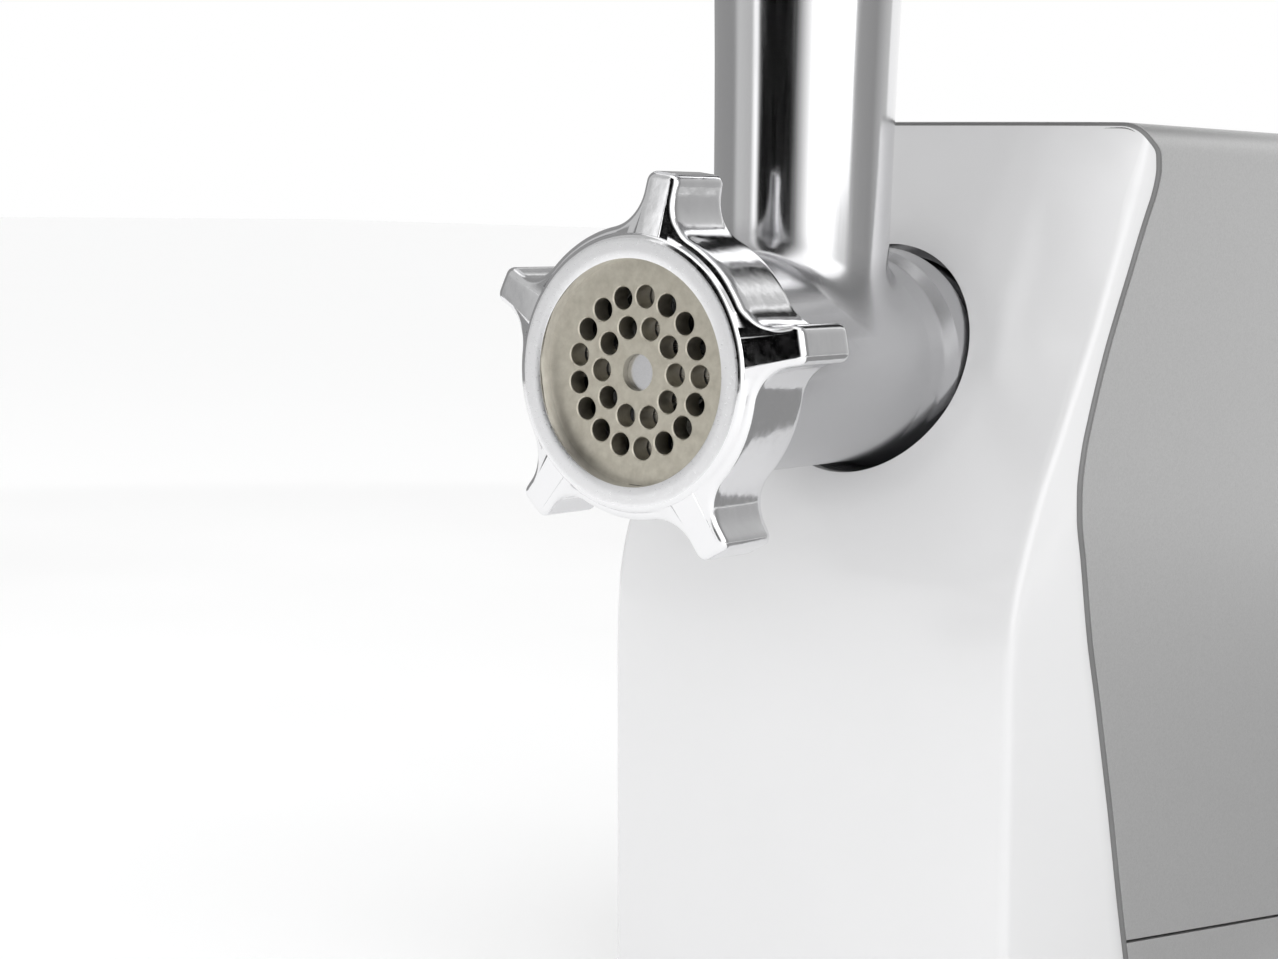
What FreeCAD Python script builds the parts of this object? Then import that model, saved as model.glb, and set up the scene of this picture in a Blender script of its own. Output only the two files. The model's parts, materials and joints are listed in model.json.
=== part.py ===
"""Electric meat grinder, modelled about the head axis.

Drawing frame: X to the right seen from the front, Y to the back, Z up, millimetres, with the head axis
along Y through X = 0, Z = 0 and Y = 0 where the axis meets the front cover. Every sub-part is placed at
"datum", which moves that frame so that the origin is at the centre of the footprint, on the worktop.
"""
import FreeCAD, Part
import math
import os
import Sketcher

from FreeCAD import Placement, Rotation, Vector

DIMS = {
    # where the head axis is above the worktop, and where the drawing frame's Y = 0 is
    "axis_height": 175.0,
    "frame_shift": -30.0,
    # ring nut
    "nut_front": -95.1,
    "nut_back": -74.1,
    "nut_mouth": 24.5,
    "nut_face": 29.0,
    "nut_root": 32.0,
    "nut_bore": 29.3,
    "nut_lip": 3.5,
    "lobe_tip": 43.5,
    "lobe_width": 9.0,
    "lobe_flare": 17.0,
    # hole plate, size 5
    "plate_rim": 27.0,
    "plate_thick": 5.0,
    "plate_bore": 4.05,
    "plate_hole": 2.5,
    # barrel of the head casting
    "barrel_front": -90.6,
    "barrel_thread": 29.0,
    "barrel_out": 24.6,
    "barrel_bore": 21.6,
    "knife_bore": 25.2,
    "seat_bore": 27.3,
    "seat_back": -86.4,
    "flange_rim": 26.6,
    "spigot_rim": 24.0,
    "head_back": 23.0,
    # feed tube
    "tube_y": -29.8,
    "tube_low": 20.1,
    "tube_high": 22.4,
    "tube_mouth": 25.4,
    "tube_bore": 18.0,
    "tube_cup": 22.5,
    "tube_top": 118.0,
    # auger and knife
    "flight_rim": 21.2,
    "core_front": 9.0,
    "core_back": 13.0,
    "shank": 7.92,
    "shank_hole": 8.0,
    "auger_pin": 4.0,
    "knife_rim": 24.0,
    "square": 9.0,
    # food tray and pusher
    "tray_half": 95.0,
    "tray_near": -52.0,
    "tray_far": 76.0,
    "tray_deep": 18.0,
    "tray_skin": 2.0,
    "neck_out": 22.2,
    "neck_in": 19.2,
    "pusher_rim": 17.3,
    "pusher_foot": 24.5,
    "pusher_top": 172.0,
    # housing
    "half_width": 61.0,
    "house_back": 155.1,
    "house_top": 57.5,
    "house_low": -170.0,
    "skin": 2.5,
    "top_round": 7.5,
    "opening": 27.3,
    "seam_front": -141.0,
    "seam_back": -158.5,
    "gap": 1.2,
    # gear train: modules, teeth and the lie of each centre line, in degrees from straight down
    "m_out": 1.75,
    "m_mid": 1.25,
    "m_in": 1.0,
    "teeth_out": 48,
    "teeth_b": 54,
    "teeth_a": 60,
    "teeth_pin": 12,
    "lie_b": 13.2,
    "lie_a": -21.3,
    "lie_motor": 12.8,
    "pin_rim": 4.0,
    "pin_hole": 4.06,
    # motor
    "shaft": 4.0,
    "shaft_hole": 4.06,
    "stack_bore": 21.5,
    "stack_near": 98.0,
    "stack_far": 126.0,
    "rotor_rim": 20.8,
    # lock, switch and feet
    "foot_rim": 9.0,
    "foot_high": 5.0,
}
# front of the housing at each level: height, centre, crease, crease's half width, edge of the silver wrap
LEVELS = [
    (57.5, 22.1, 26.5, 60.3, 36.0),
    (40.0, 15.4, 19.5, 60.2, 28.3),
    (20.0, 7.7, 10.5, 60.0, 16.6),
    (0.0, 0.0, 0.7, 59.0, 6.1),
    (-20.0, -9.3, -8.7, 56.8, -1.9),
    (-40.0, -19.0, -18.2, 56.5, 0.1),
    (-58.0, -25.2, -24.3, 57.0, 4.3),
    (-80.0, -26.4, -24.8, 57.0, 10.9),
    (-110.0, -25.7, -23.8, 57.0, 20.4),
    (-140.0, -24.8, -22.7, 57.0, 29.4),
    (-170.0, -23.9, -21.5, 57.0, 38.5),
]

doc = FreeCAD.newDocument("MeatGrinder")
sheet = doc.addObject("Spreadsheet::Sheet", "Dims")
for row, (alias, value) in enumerate(DIMS.items(), 1):
    sheet.set("A%d" % row, alias)
    sheet.set("B%d" % row, str(value))
    sheet.setAlias("B%d" % row, alias)
for row, level in enumerate(LEVELS, 1):
    for column, name, value in zip("DEFGH", ("high", "centre", "crease", "corner", "edge"), level):
        sheet.set("%s%d" % (column, row), str(value))
        sheet.setAlias("%s%d" % (column, row), "%s_%s" % (name, "abcdefghijk"[row - 1]))
doc.recompute()

NODES = []
AXES = {"X": Vector(1, 0, 0), "Y": Vector(0, 1, 0), "Z": Vector(0, 0, 1)}


def number(text):
    """The value of an expression over the sheet, in millimetres or plain."""
    if isinstance(text, (int, float)):
        return float(text)
    value = sheet.evalExpression(text)
    return float(getattr(value, "Value", value))


def dim(alias):
    return number("Dims." + alias)


def bind(thing, prop, text):
    thing.setExpression(prop, str(text))


def spot(thing, at=(0, 0, 0), axis="Z", turn=0.0):
    """Places a primitive: its own Z along the axis, turned about it, at an expression for each of x, y, z."""
    lie = Rotation(AXES["Z"], AXES[axis])
    thing.Placement = Placement(Vector(), Rotation(AXES[axis], turn) * lie)
    for letter, text in zip("xyz", at):
        bind(thing, "Placement.Base." + letter, text)
    return thing


def cylinder(radius, length, at=(0, 0, 0), axis="Y"):
    made = doc.addObject("Part::Cylinder", "Cylinder")
    bind(made, "Radius", radius)
    bind(made, "Height", length)
    return spot(made, at, axis)


def box(size, at, turn=0.0, axis="Y"):
    """A box with its corner at the given place, or turned about the head axis."""
    made = doc.addObject("Part::Box", "Box")
    for prop, text in zip(("Length", "Width", "Height"), size):
        bind(made, prop, text)
    for letter, text in zip("xyz", at):
        bind(made, "Placement.Base." + letter, text)
    if not turn:
        return made
    return turned(made, axis, turn)


def turned(thing, axis, angle):
    """The same shape turned about one axis of the drawing frame."""
    holder = doc.addObject("Part::Compound", "Turned")
    holder.Links = [thing]
    holder.Placement = Placement(Vector(), Rotation(AXES[axis], angle))
    return holder


def fuse(things):
    made = doc.addObject("Part::MultiFuse", "Fuse")
    made.Shapes = things
    return made


def cut(base, tools):
    made = doc.addObject("Part::Cut", "Cut")
    made.Base = base
    made.Tool = tools[0] if len(tools) == 1 else fuse(tools)
    return made


def common(things):
    made = doc.addObject("Part::MultiCommon", "Common")
    made.Shapes = things
    return made


def ring(outer, inner, length, at, axis="Y"):
    return cut(cylinder(outer, length, at, axis), [cylinder(inner, length, at, axis)])


def node(name, thing):
    """Names a finished sub-part and moves it from the drawing frame to the worktop frame."""
    if thing.TypeId in ("Part::Box", "Part::Cylinder"):
        thing = gather([thing])
    thing.Label = name
    held = thing.Placement
    shift = Vector(0, dim("frame_shift"), dim("axis_height"))
    thing.Placement = Placement(shift, Rotation()).multiply(held)
    NODES.append(thing)
    return thing


def outline(sketch, points):
    """A closed polygon in a sketch, with each corner bound to its pair of expressions."""
    flat = [Vector(number(u), number(v), 0) for u, v in points]
    count = len(points)
    for i in range(count):
        sketch.addGeometry(Part.LineSegment(flat[i], flat[(i + 1) % count]), False)
    for i in range(count):
        sketch.addConstraint(Sketcher.Constraint("Coincident", i, 2, (i + 1) % count, 1))
    for i, (u, v) in enumerate(points):
        for kind, text, value in (("DistanceX", u, flat[i].x), ("DistanceY", v, flat[i].y)):
            if abs(value) < 1e-9:
                line = -2 if kind == "DistanceX" else -1
                sketch.addConstraint(Sketcher.Constraint("PointOnObject", i, 1, line))
                continue
            index = sketch.addConstraint(Sketcher.Constraint(kind, -1, 1, i, 1, value))
            if not isinstance(text, (int, float)):
                bind(sketch, "Constraints[%d]" % index, text)


def plane_of(body, role):
    return [f for f in body.Origin.OriginFeatures if f.Role == role][0]


def sketch_on(body, role, points):
    sketch = body.newObject("Sketcher::SketchObject", "Sketch")
    sketch.AttachmentSupport = [(plane_of(body, role), "")]
    sketch.MapMode = "FlatFace"
    outline(sketch, points)
    return sketch


def revolve(body, kind, points, role="XY_Plane"):
    """A Revolution or Groove about the sketch's upright axis: Y on XY_Plane, Z on XZ_Plane."""
    sketch = sketch_on(body, role, points)
    made = body.newObject("PartDesign::" + kind, kind)
    made.Profile = sketch
    made.ReferenceAxis = (sketch, ["V_Axis"])
    made.Angle = 360.0
    return made


def turned_body(name, points, role="XY_Plane"):
    """A piece of revolution. points are (radius, place along the axis)."""
    body = doc.addObject("PartDesign::Body", name)
    body.Tip = revolve(body, "Revolution", points, role)
    return body


def pad(body, role, points, length, kind="Pad", reverse=False):
    sketch = sketch_on(body, role, points)
    made = body.newObject("PartDesign::" + kind, kind)
    made.Profile = sketch
    bind(made, "Length", length)
    made.Reversed = reverse
    return made


def gear(teeth, module, width, start, place, phase, bore):
    """A spur gear along Y with involute flanks at 25 degrees, slimmed for backlash, one tooth at phase."""
    pressure = math.radians(25)
    pitch = teeth * module / 2
    base = pitch * math.cos(pressure)
    tip = pitch + 0.9 * module
    root = pitch - 1.2 * module
    backlash = 0.06 * module
    half = math.pi / (2 * teeth) - backlash / pitch

    def flank(radius):
        """Half of the tooth's angle at a radius."""
        if radius <= base:
            return half + math.tan(pressure) - pressure
        open_angle = math.acos(base / radius)
        return half + math.tan(pressure) - pressure - (math.tan(open_angle) - open_angle)

    def point(radius, angle):
        return Vector(radius * math.cos(angle), 0, radius * math.sin(angle))

    low = max(base, root) + 0.01
    middle = (low + tip) / 2
    edges = []
    for i in range(teeth):
        at = phase + 2 * math.pi * i / teeth
        after = phase + 2 * math.pi * (i + 1) / teeth
        foot = flank(low)
        edges.append(Part.LineSegment(point(root, at - foot), point(low, at - foot)))
        crest = flank(tip)
        edges.append(Part.Arc(point(low, at - foot), point(middle, at - flank(middle)), point(tip, at - crest)))
        edges.append(Part.Arc(point(tip, at - crest), point(tip, at), point(tip, at + crest)))
        edges.append(Part.Arc(point(tip, at + crest), point(middle, at + flank(middle)), point(low, at + foot)))
        edges.append(Part.LineSegment(point(low, at + foot), point(root, at + foot)))
        edges.append(Part.Arc(point(root, at + foot), point(root, (at + after) / 2), point(root, after - foot)))
    rim = Part.Wire([e.toShape() for e in edges])
    face = Part.Face(rim)
    solid = face.extrude(Vector(0, width, 0))
    if bore:
        solid = solid.cut(Part.makeCylinder(bore, width, Vector(), AXES["Y"]))
    solid.translate(Vector(place[0], start, place[1]))
    return solid


def feature(name, shape):
    made = doc.addObject("Part::Feature", name)
    made.Shape = shape
    return made


def vertical_edges(thing, direction, keep=lambda middle: True):
    """Numbers of the straight edges of a shape that run along a direction."""
    doc.recompute()
    found = []
    for i, edge in enumerate(thing.Shape.Edges, 1):
        if edge.Curve.TypeId != "Part::GeomLine":
            continue
        along = edge.tangentAt(edge.FirstParameter)
        middle = edge.valueAt((edge.FirstParameter + edge.LastParameter) / 2)
        if abs(abs(along.dot(direction)) - 1) < 1e-6 and keep(middle):
            found.append(i)
    return found


def rounded(thing, direction, radius, keep=lambda middle: True):
    made = doc.addObject("Part::Fillet", "Fillet")
    made.Base = thing
    made.Edges = [(i, radius, radius) for i in vertical_edges(thing, direction, keep)]
    return made


# ---------------------------------------------------------------- head: casting, auger, knife, plate, nut
def make_head_casting():
    """Barrel and feed tube in one casting. The front is plain where the thread is, the back has the lugs."""
    body = doc.addObject("PartDesign::Body", "HeadCasting")
    revolve(body, "Revolution", [
        (0, "Dims.barrel_front"), ("Dims.barrel_thread", "Dims.barrel_front"), ("Dims.barrel_thread", -76.2),
        ("Dims.barrel_thread - 1.8", -74.6), ("Dims.barrel_out", -74.6), ("Dims.barrel_out", -6),
        ("Dims.barrel_out + 0.3", -2), ("Dims.barrel_out + 1.0", 1.2), ("Dims.flange_rim", 3),
        ("Dims.flange_rim", 6.5), ("Dims.spigot_rim", 6.5), ("Dims.spigot_rim", "Dims.head_back"),
        (0, "Dims.head_back")])
    tube = revolve(body, "Revolution", [
        (0, 4), ("Dims.tube_low", 4), ("Dims.tube_low + 1.5", 84), ("Dims.tube_high", 100),
        ("Dims.tube_mouth", 108), ("Dims.tube_mouth", "Dims.tube_top"), (0, "Dims.tube_top")], "XZ_Plane")
    sketch = tube.Profile[0]
    sketch.AttachmentOffset = Placement(Vector(0, 0, -dim("tube_y")), Rotation())
    revolve(body, "Groove", [
        (0, "Dims.barrel_front"), ("Dims.seat_bore", "Dims.barrel_front"), ("Dims.seat_bore", "Dims.seat_back"),
        ("Dims.knife_bore", "Dims.seat_back"), ("Dims.knife_bore", -76.4), ("Dims.barrel_bore", -75.4),
        ("Dims.barrel_bore", 3), ("Dims.shank_hole", 3), ("Dims.shank_hole", 12), (19.5, 12),
        (19.5, "Dims.head_back"), (0, "Dims.head_back")])
    hollow = revolve(body, "Groove", [
        (0, 4), ("Dims.tube_bore", 4), ("Dims.tube_bore", 106), ("Dims.tube_cup", 106),
        ("Dims.tube_cup", "Dims.tube_top"), (0, "Dims.tube_top")], "XZ_Plane")
    hollow.Profile[0].AttachmentOffset = Placement(Vector(0, 0, -dim("tube_y")), Rotation())
    body.Tip = hollow
    lugs = []
    for turn in (90, 210, 330):
        sector = common([ring("Dims.flange_rim", "Dims.spigot_rim - 0.4", 3, (0, 19, 0)),
                         box((12, 4, 16), (20, 18.5, -8), turn)])
        lugs.append(sector)
    slot = box((4, 4.6, 1.9), (-2, "Dims.barrel_front - 0.5", "Dims.seat_bore - 1.2"), 180)
    return node("head_casting", cut(fuse([body] + lugs), [slot]))


def make_key_pin():
    """The pin in the barrel's mouth that keeps the hole plate from turning."""
    key = box((3.4, 3.9, 2.85), (-1.7, "Dims.barrel_front + 0.2", "Dims.seat_bore - 2.2"), 180)
    return node("plate_key_pin", key)


def make_auger():
    """Screw with a tapering core, one flight, a bearing pin in front and a hexagonal drive end behind."""
    body = doc.addObject("PartDesign::Body", "Auger")
    revolve(body, "Revolution", [
        (0, -90.0), ("Dims.auger_pin", -90.0), ("Dims.auger_pin", -77.6), ("Dims.core_front", -76.0),
        ("Dims.core_front", -70.0), ("Dims.core_back", -8.0), ("Dims.core_back", 0.6), ("Dims.shank", 0.6),
        ("Dims.shank", 15.0), (0, 15.0)])
    half = "Dims.square / 2"
    square = pad(body, "XZ_Plane", [
        (half, half), ("-" + half, half), ("-" + half, "-" + half), (half, "-" + half)], 9.4)
    square.Profile[0].AttachmentOffset = Placement(Vector(0, 0, 76.0), Rotation())
    corners = [(7.0 * math.cos(math.pi * i / 3), 7.0 * math.sin(math.pi * i / 3)) for i in range(6)]
    hexagon = pad(body, "XZ_Plane", corners, 25.5)
    hexagon.Profile[0].AttachmentOffset = Placement(Vector(0, 0, -40.0), Rotation())
    sketch = sketch_on(body, "XY_Plane", [
        (7.5, -75.0), ("Dims.flight_rim", -74.2), ("Dims.flight_rim", -72.2), (7.5, -70.6)])
    flight = body.newObject("PartDesign::AdditiveHelix", "Flight")
    flight.Profile = sketch
    flight.ReferenceAxis = (sketch, ["V_Axis"])
    flight.Mode = 0
    flight.Pitch = 22.0
    flight.Height = 68.0
    flight.LeftHanded = True
    body.Tip = flight
    return node("auger", body)


def make_auger_washer():
    return node("auger_washer", ring(12.5, 8.3, 1.8, (0, 0.8, 0)))


def make_knife():
    """Four-winged cross knife on the auger's square."""
    arms = [box((21.5, 4.4, 7.2), (2.0, -86.2, -4.9), turn) for turn in (0, 90, 180, 270)]
    blank = fuse([cylinder(9.2, 7.2, (0, -85.8, 0))] + arms)
    trimmed = common([blank, cylinder("Dims.knife_rim", 9.0, (0, -86.2, 0))])
    hole = box(("Dims.square + 0.2", 12, "Dims.square + 0.2"),
               ("-Dims.square / 2 - 0.1", -88, "-Dims.square / 2 - 0.1"))
    return node("cross_knife", cut(trimmed, [hole]))


def plate_hole_places():
    """Rings of holes: pitch radius and count."""
    return [(10.0, 10), (16.5, 17)]


def make_hole_plate():
    """Steel plate with rings of holes, a centre bore for the auger's pin and a notch for the key."""
    start = "Dims.nut_front + Dims.nut_lip"
    disc = cylinder("Dims.plate_rim", "Dims.plate_thick", (0, start, 0))
    tools = [cylinder("Dims.plate_bore", 8, (0, "Dims.nut_front + 2", 0))]
    for pitch, count in plate_hole_places():
        for i in range(count):
            angle = 2 * math.pi * i / count
            at = (pitch * math.cos(angle), "Dims.nut_front + 2", pitch * math.sin(angle))
            tools.append(cylinder("Dims.plate_hole", 8, at))
    tools.append(box((4.4, 8, 4), (-2.2, "Dims.nut_front + 2", "Dims.plate_rim - 2.6"), 180))
    return node("hole_plate", cut(disc, tools))


def make_ring_nut():
    """Ring nut with five lobes that hold the hole plate against the barrel. The thread is left plain."""
    body = turned_body("RingNut", [
        ("Dims.nut_mouth", "Dims.nut_front"), ("Dims.nut_face", "Dims.nut_front"),
        ("Dims.nut_root", "Dims.nut_front + 2.2"), ("Dims.nut_root", "Dims.nut_back"),
        ("Dims.nut_bore", "Dims.nut_back"), ("Dims.nut_bore", "Dims.nut_front + Dims.nut_lip"),
        ("Dims.nut_mouth", "Dims.nut_front + Dims.nut_lip")])
    lobes = []
    for turn in (7, -65, -137, -209, -281):
        lobe = doc.addObject("Part::Wedge", "Lobe")
        lobe.Xmin = 0
        bind(lobe, "Xmax", "Dims.lobe_flare")
        lobe.Ymin = 0
        bind(lobe, "Ymax", "Dims.lobe_tip - Dims.nut_root + 2")
        lobe.Zmin = 0
        bind(lobe, "Zmax", "Dims.nut_back - Dims.nut_front - 1.6")
        bind(lobe, "X2min", "(Dims.lobe_flare - Dims.lobe_width) / 2")
        bind(lobe, "X2max", "(Dims.lobe_flare + Dims.lobe_width) / 2")
        lobe.Z2min = 3.0
        bind(lobe, "Z2max", "Dims.nut_back - Dims.nut_front - 1.6")
        lobe.Placement = Placement(Vector(dim("lobe_flare") / 2, dim("nut_front") + 1.6, dim("nut_root") - 2),
                                   Rotation(Vector(-1, 0, 0), Vector(0, 0, 1), Vector(0, 1, 0), "XYZ"))
        lobes.append(turned(lobe, "Y", turn))
    solid = fuse([body] + lobes)
    bore = cylinder("Dims.nut_bore", "Dims.nut_back - Dims.nut_front - Dims.nut_lip",
                    (0, "Dims.nut_front + Dims.nut_lip", 0))
    return node("ring_nut", cut(solid, [bore]))


# ---------------------------------------------------------------- food tray and pusher
def make_tray():
    """Shallow pan with a neck that drops into the mouth of the feed tube."""
    low = "Dims.tube_top"
    outer = box(("2 * Dims.tray_half", "Dims.tray_far - Dims.tray_near", "Dims.tray_deep"),
                ("-Dims.tray_half", "Dims.tube_y + Dims.tray_near", low))
    inner = box(("2 * Dims.tray_half - 2 * Dims.tray_skin",
                 "Dims.tray_far - Dims.tray_near - 2 * Dims.tray_skin", "Dims.tray_deep"),
                ("-Dims.tray_half + Dims.tray_skin", "Dims.tube_y + Dims.tray_near + Dims.tray_skin",
                 low + " + Dims.tray_skin"))
    pan = cut(rounded(outer, AXES["Z"], 48.0), [rounded(inner, AXES["Z"], 46.0)])
    neck = cylinder("Dims.neck_out", 13.0, (0, "Dims.tube_y", low + " - 11.5"), "Z")
    hole = cylinder("Dims.neck_in", 30.0, (0, "Dims.tube_y", low + " - 20"), "Z")
    return node("food_tray", cut(fuse([pan, neck]), [hole]))


def shifted_to_tube(body):
    body.Placement = Placement(Vector(0, dim("tube_y"), 0), Rotation())
    return body


def make_pusher():
    """Hollow pusher: a plunger in the tube, a collar that rests on the tray, and a grip."""
    body = turned_body("Pusher", [
        (0, "Dims.pusher_foot"), ("Dims.pusher_rim", "Dims.pusher_foot"), ("Dims.pusher_rim", 120.0),
        (24.0, 120.0), (24.0, 124.0), (17.0, 127.0), (16.0, 140.0), (19.5, 160.0), (21.0, "Dims.pusher_top"),
        (19.0, "Dims.pusher_top"), (17.5, 160.0), (14.0, 140.0), (14.0, "Dims.pusher_foot + 3"),
        (0, "Dims.pusher_foot + 3")], "XZ_Plane")
    return node("pusher", shifted_to_tube(body))


def make_pusher_cap():
    """Lid that closes the hollow pusher."""
    body = turned_body("PusherCap", [
        (0, "Dims.pusher_top - 4"), (18.0, "Dims.pusher_top - 4"), (18.7, "Dims.pusher_top"),
        (21.0, "Dims.pusher_top"), (20.0, "Dims.pusher_top + 4.5"), (14.0, "Dims.pusher_top + 6"),
        (0, "Dims.pusher_top + 6")], "XZ_Plane")
    return node("pusher_cap", shifted_to_tube(body))


# ---------------------------------------------------------------- housing
def section(letter, inset):
    """One level of the housing: crowned front between two creases, two flanks, two sides and the back."""
    sketch = doc.addObject("Sketcher::SketchObject", "Section")
    corner = "(Dims.corner_%s - %s)" % (letter, inset)
    side = "(Dims.half_width - %s)" % inset
    front = "(Dims.crease_%s + %s)" % (letter, inset)
    edge = "(Dims.edge_%s + %s / 2)" % (letter, inset)
    back = "(Dims.house_back - %s)" % inset
    crown = "(Dims.crease_%s - Dims.centre_%s)" % (letter, letter)
    corners = [(corner, front), (side, edge), (side, back), ("-" + side, back), ("-" + side, edge),
               ("-" + corner, front)]
    flat = [Vector(number(u), number(v), 0) for u, v in corners]
    for i in range(5):
        sketch.addGeometry(Part.LineSegment(flat[i], flat[i + 1]), False)
    middle = Vector(0, number("Dims.centre_%s + %s" % (letter, inset)), 0)
    arc = Part.Arc(flat[5], middle, flat[0])
    sketch.addGeometry(arc, False)
    first = 1 if sketch.getPoint(5, 1).distanceToPoint(flat[5]) < 1e-6 else 2
    for i in range(4):
        sketch.addConstraint(Sketcher.Constraint("Coincident", i, 2, i + 1, 1))
    sketch.addConstraint(Sketcher.Constraint("Coincident", 4, 2, 5, first))
    sketch.addConstraint(Sketcher.Constraint("Coincident", 5, 3 - first, 0, 1))
    ends = [(0, 1), (1, 1), (2, 1), (3, 1), (4, 1), (4, 2)]
    for (u, v), (edge_number, end), place in zip(corners, ends, flat):
        across = sketch.addConstraint(Sketcher.Constraint("DistanceX", -1, 1, edge_number, end, place.x))
        bind(sketch, "Constraints[%d]" % across, u)
        along = sketch.addConstraint(Sketcher.Constraint("DistanceY", -1, 1, edge_number, end, place.y))
        bind(sketch, "Constraints[%d]" % along, v)
    bend = sketch.addConstraint(Sketcher.Constraint("Radius", 5, arc.toShape().Curve.Radius))
    bind(sketch, "Constraints[%d]" % bend, "(%s ^ 2 + %s ^ 2) / (2 * %s)" % (corner, crown, crown))
    bind(sketch, "Placement.Base.z", "Dims.high_%s" % letter)
    return sketch


def housing_block(inset):
    """The housing's outer form, or its hollow when inset, with the long top edges rounded."""
    loft = doc.addObject("Part::Loft", "HousingLoft")
    loft.Sections = [section(letter, inset) for letter in "kjihgfedcba"]
    loft.Solid = True
    loft.Ruled = True
    width = "2 * (Dims.half_width - %s)" % inset
    tall = "Dims.house_top - Dims.house_low + 20 - %s" % inset
    prism = box((width, 260, tall), ("-(Dims.half_width - %s)" % inset, -60, "Dims.house_low - 20"))
    top = dim("house_top") - float(inset)
    soft = rounded(prism, AXES["Y"], dim("top_round") - float(inset) / 2, lambda at: at.z > top - 1)
    return common([loft, soft])


def wide_extrusion(points):
    """A region of the side view, carried across the whole width of the housing."""
    sketch = doc.addObject("Sketcher::SketchObject", "Region")
    outline(sketch, points)
    sketch.Placement = Placement(Vector(-80, 0, 0), Rotation(Vector(0, 1, 0), Vector(0, 0, 1), Vector(1, 0, 0),
                                                             "XYZ"))
    made = doc.addObject("Part::Extrusion", "RegionSolid")
    made.Base = sketch
    made.DirMode = "Custom"
    made.Dir = Vector(1, 0, 0)
    made.LengthFwd = 160.0
    made.Solid = True
    return made


def wrap_edge(shift):
    """The line where the silver wrap begins in the side view, top to bottom, shifted back."""
    line = [("29 + %s" % shift, 70), ("29 + %s" % shift, 44)]
    for letter in "cdefghijk":
        line.append(("Dims.edge_%s + %s" % (letter, shift), "Dims.high_%s" % letter))
    line.append(("Dims.edge_k + 3 + %s" % shift, "Dims.house_low - 10"))
    return line


def seam_height(place, shift):
    """The seam above the base skirt, which runs down towards the back."""
    slope = "(Dims.seam_back - Dims.seam_front) / (Dims.house_back - Dims.edge_j)"
    return "Dims.seam_front + %s * (%s - Dims.edge_j) + %s" % (slope, place, shift)


def make_housing():
    """Front cover, trim strip, silver wrap, base skirt and rear cover, all cut from one hollow form."""
    outer = housing_block("0")
    inner = housing_block("2.5")
    shell = cut(outer, [inner])
    front = wide_extrusion([(-90, -190), (-90, 70)] + wrap_edge("(0 - Dims.gap)"))
    opening = cylinder("Dims.opening", 120, (0, -60, 0))
    node("front_cover", cut(common([shell, front]), [opening]))

    line = wrap_edge("(0 - Dims.gap)")
    back_line = wrap_edge("0")
    strip = wide_extrusion(line + back_line[::-1])
    node("trim_strip", common([shell, strip]))

    rear = "(Dims.house_back - Dims.skin)"
    walls = cut(shell, [box((140, 40, 260), (-70, rear, -190))])
    behind = wide_extrusion(back_line + [(190, -190), (190, 70)])
    above = wide_extrusion([(-90, seam_height("-90", "0.4")), (190, seam_height("190", "0.4")),
                            (190, 70), (-90, 70)])
    below = wide_extrusion([(-90, seam_height("-90", "-0.4")), (190, seam_height("190", "-0.4")), (190, -190),
                            (-90, -190)])
    hole_switch = box((10, 31, 22), (-65, 54.5, -61))
    hole_button = box((10, 8.6, 16.2), (-65, 17.3, -8.1))
    node("silver_wrap", cut(common([walls, behind, above]), [hole_switch, hole_button]))
    floor = common([inner, box((140, 172, 3), (-70, -20, "Dims.house_low"))])
    base = fuse([common([walls, behind, below]), floor])
    holes = [cylinder(2.3, 8, (x, y, "Dims.house_low - 2"), "Z") for x, y in BASE_SCREWS]
    node("base_pan", cut(base, holes))

    panel = common([outer, box((140, 2.4, 260), (-70, rear + " + 0.1", -190))])
    vents = [box((64, 10, 2.6), (-32, 148, -30 - 7 * i)) for i in range(9)]
    gland = cylinder(6.1, 10, (-38, 148, -150))
    node("rear_cover", cut(panel, vents + [gland]))
    return inner


FEET = [(-44, 2), (44, 2), (-44, 138), (44, 138)]
BASE_SCREWS = [(-40, 34), (44, 34), (-40, 60), (44, 60)]


def make_feet():
    """Four rubber feet, and the screws that hold the base pan to the gearbox legs."""
    feet = [cylinder("Dims.foot_rim", "Dims.foot_high", (x, y, "Dims.house_low - Dims.foot_high"), "Z")
            for x, y in FEET]
    node("rubber_feet", gather(feet))
    screws = [fuse([cylinder(2.1, 12, (x, y, "Dims.house_low - 1"), "Z"),
                    cylinder(3.8, 1.6, (x, y, "Dims.house_low - 1.6"), "Z")]) for x, y in BASE_SCREWS]
    node("base_screws", gather(screws))


def gather(things):
    made = doc.addObject("Part::Compound", "Group")
    made.Links = things
    return made


def make_socket(hollow):
    """Socket that the head turns into: a collar behind the front cover, a lip and a chamber for the lugs."""
    collar = common([ring("Dims.opening + 2.2", "Dims.opening", 39, (0, -22, 0)), hollow])
    lip = ring(33.5, "Dims.spigot_rim + 0.4", 2.0, (0, 16.6, 0))
    slots = [box((4.0, 3, 18), (23.6, 16, -9), turn) for turn in (45, 165, 285)]
    chamber = ring(33.5, 27.3, 5.4, (0, 18.6, 0))
    window = box((12, 3.4, 9), (25, 19.3, -4.5))
    node("head_socket", cut(fuse([collar, cut(lip, slots), chamber]), [window]))


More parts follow.
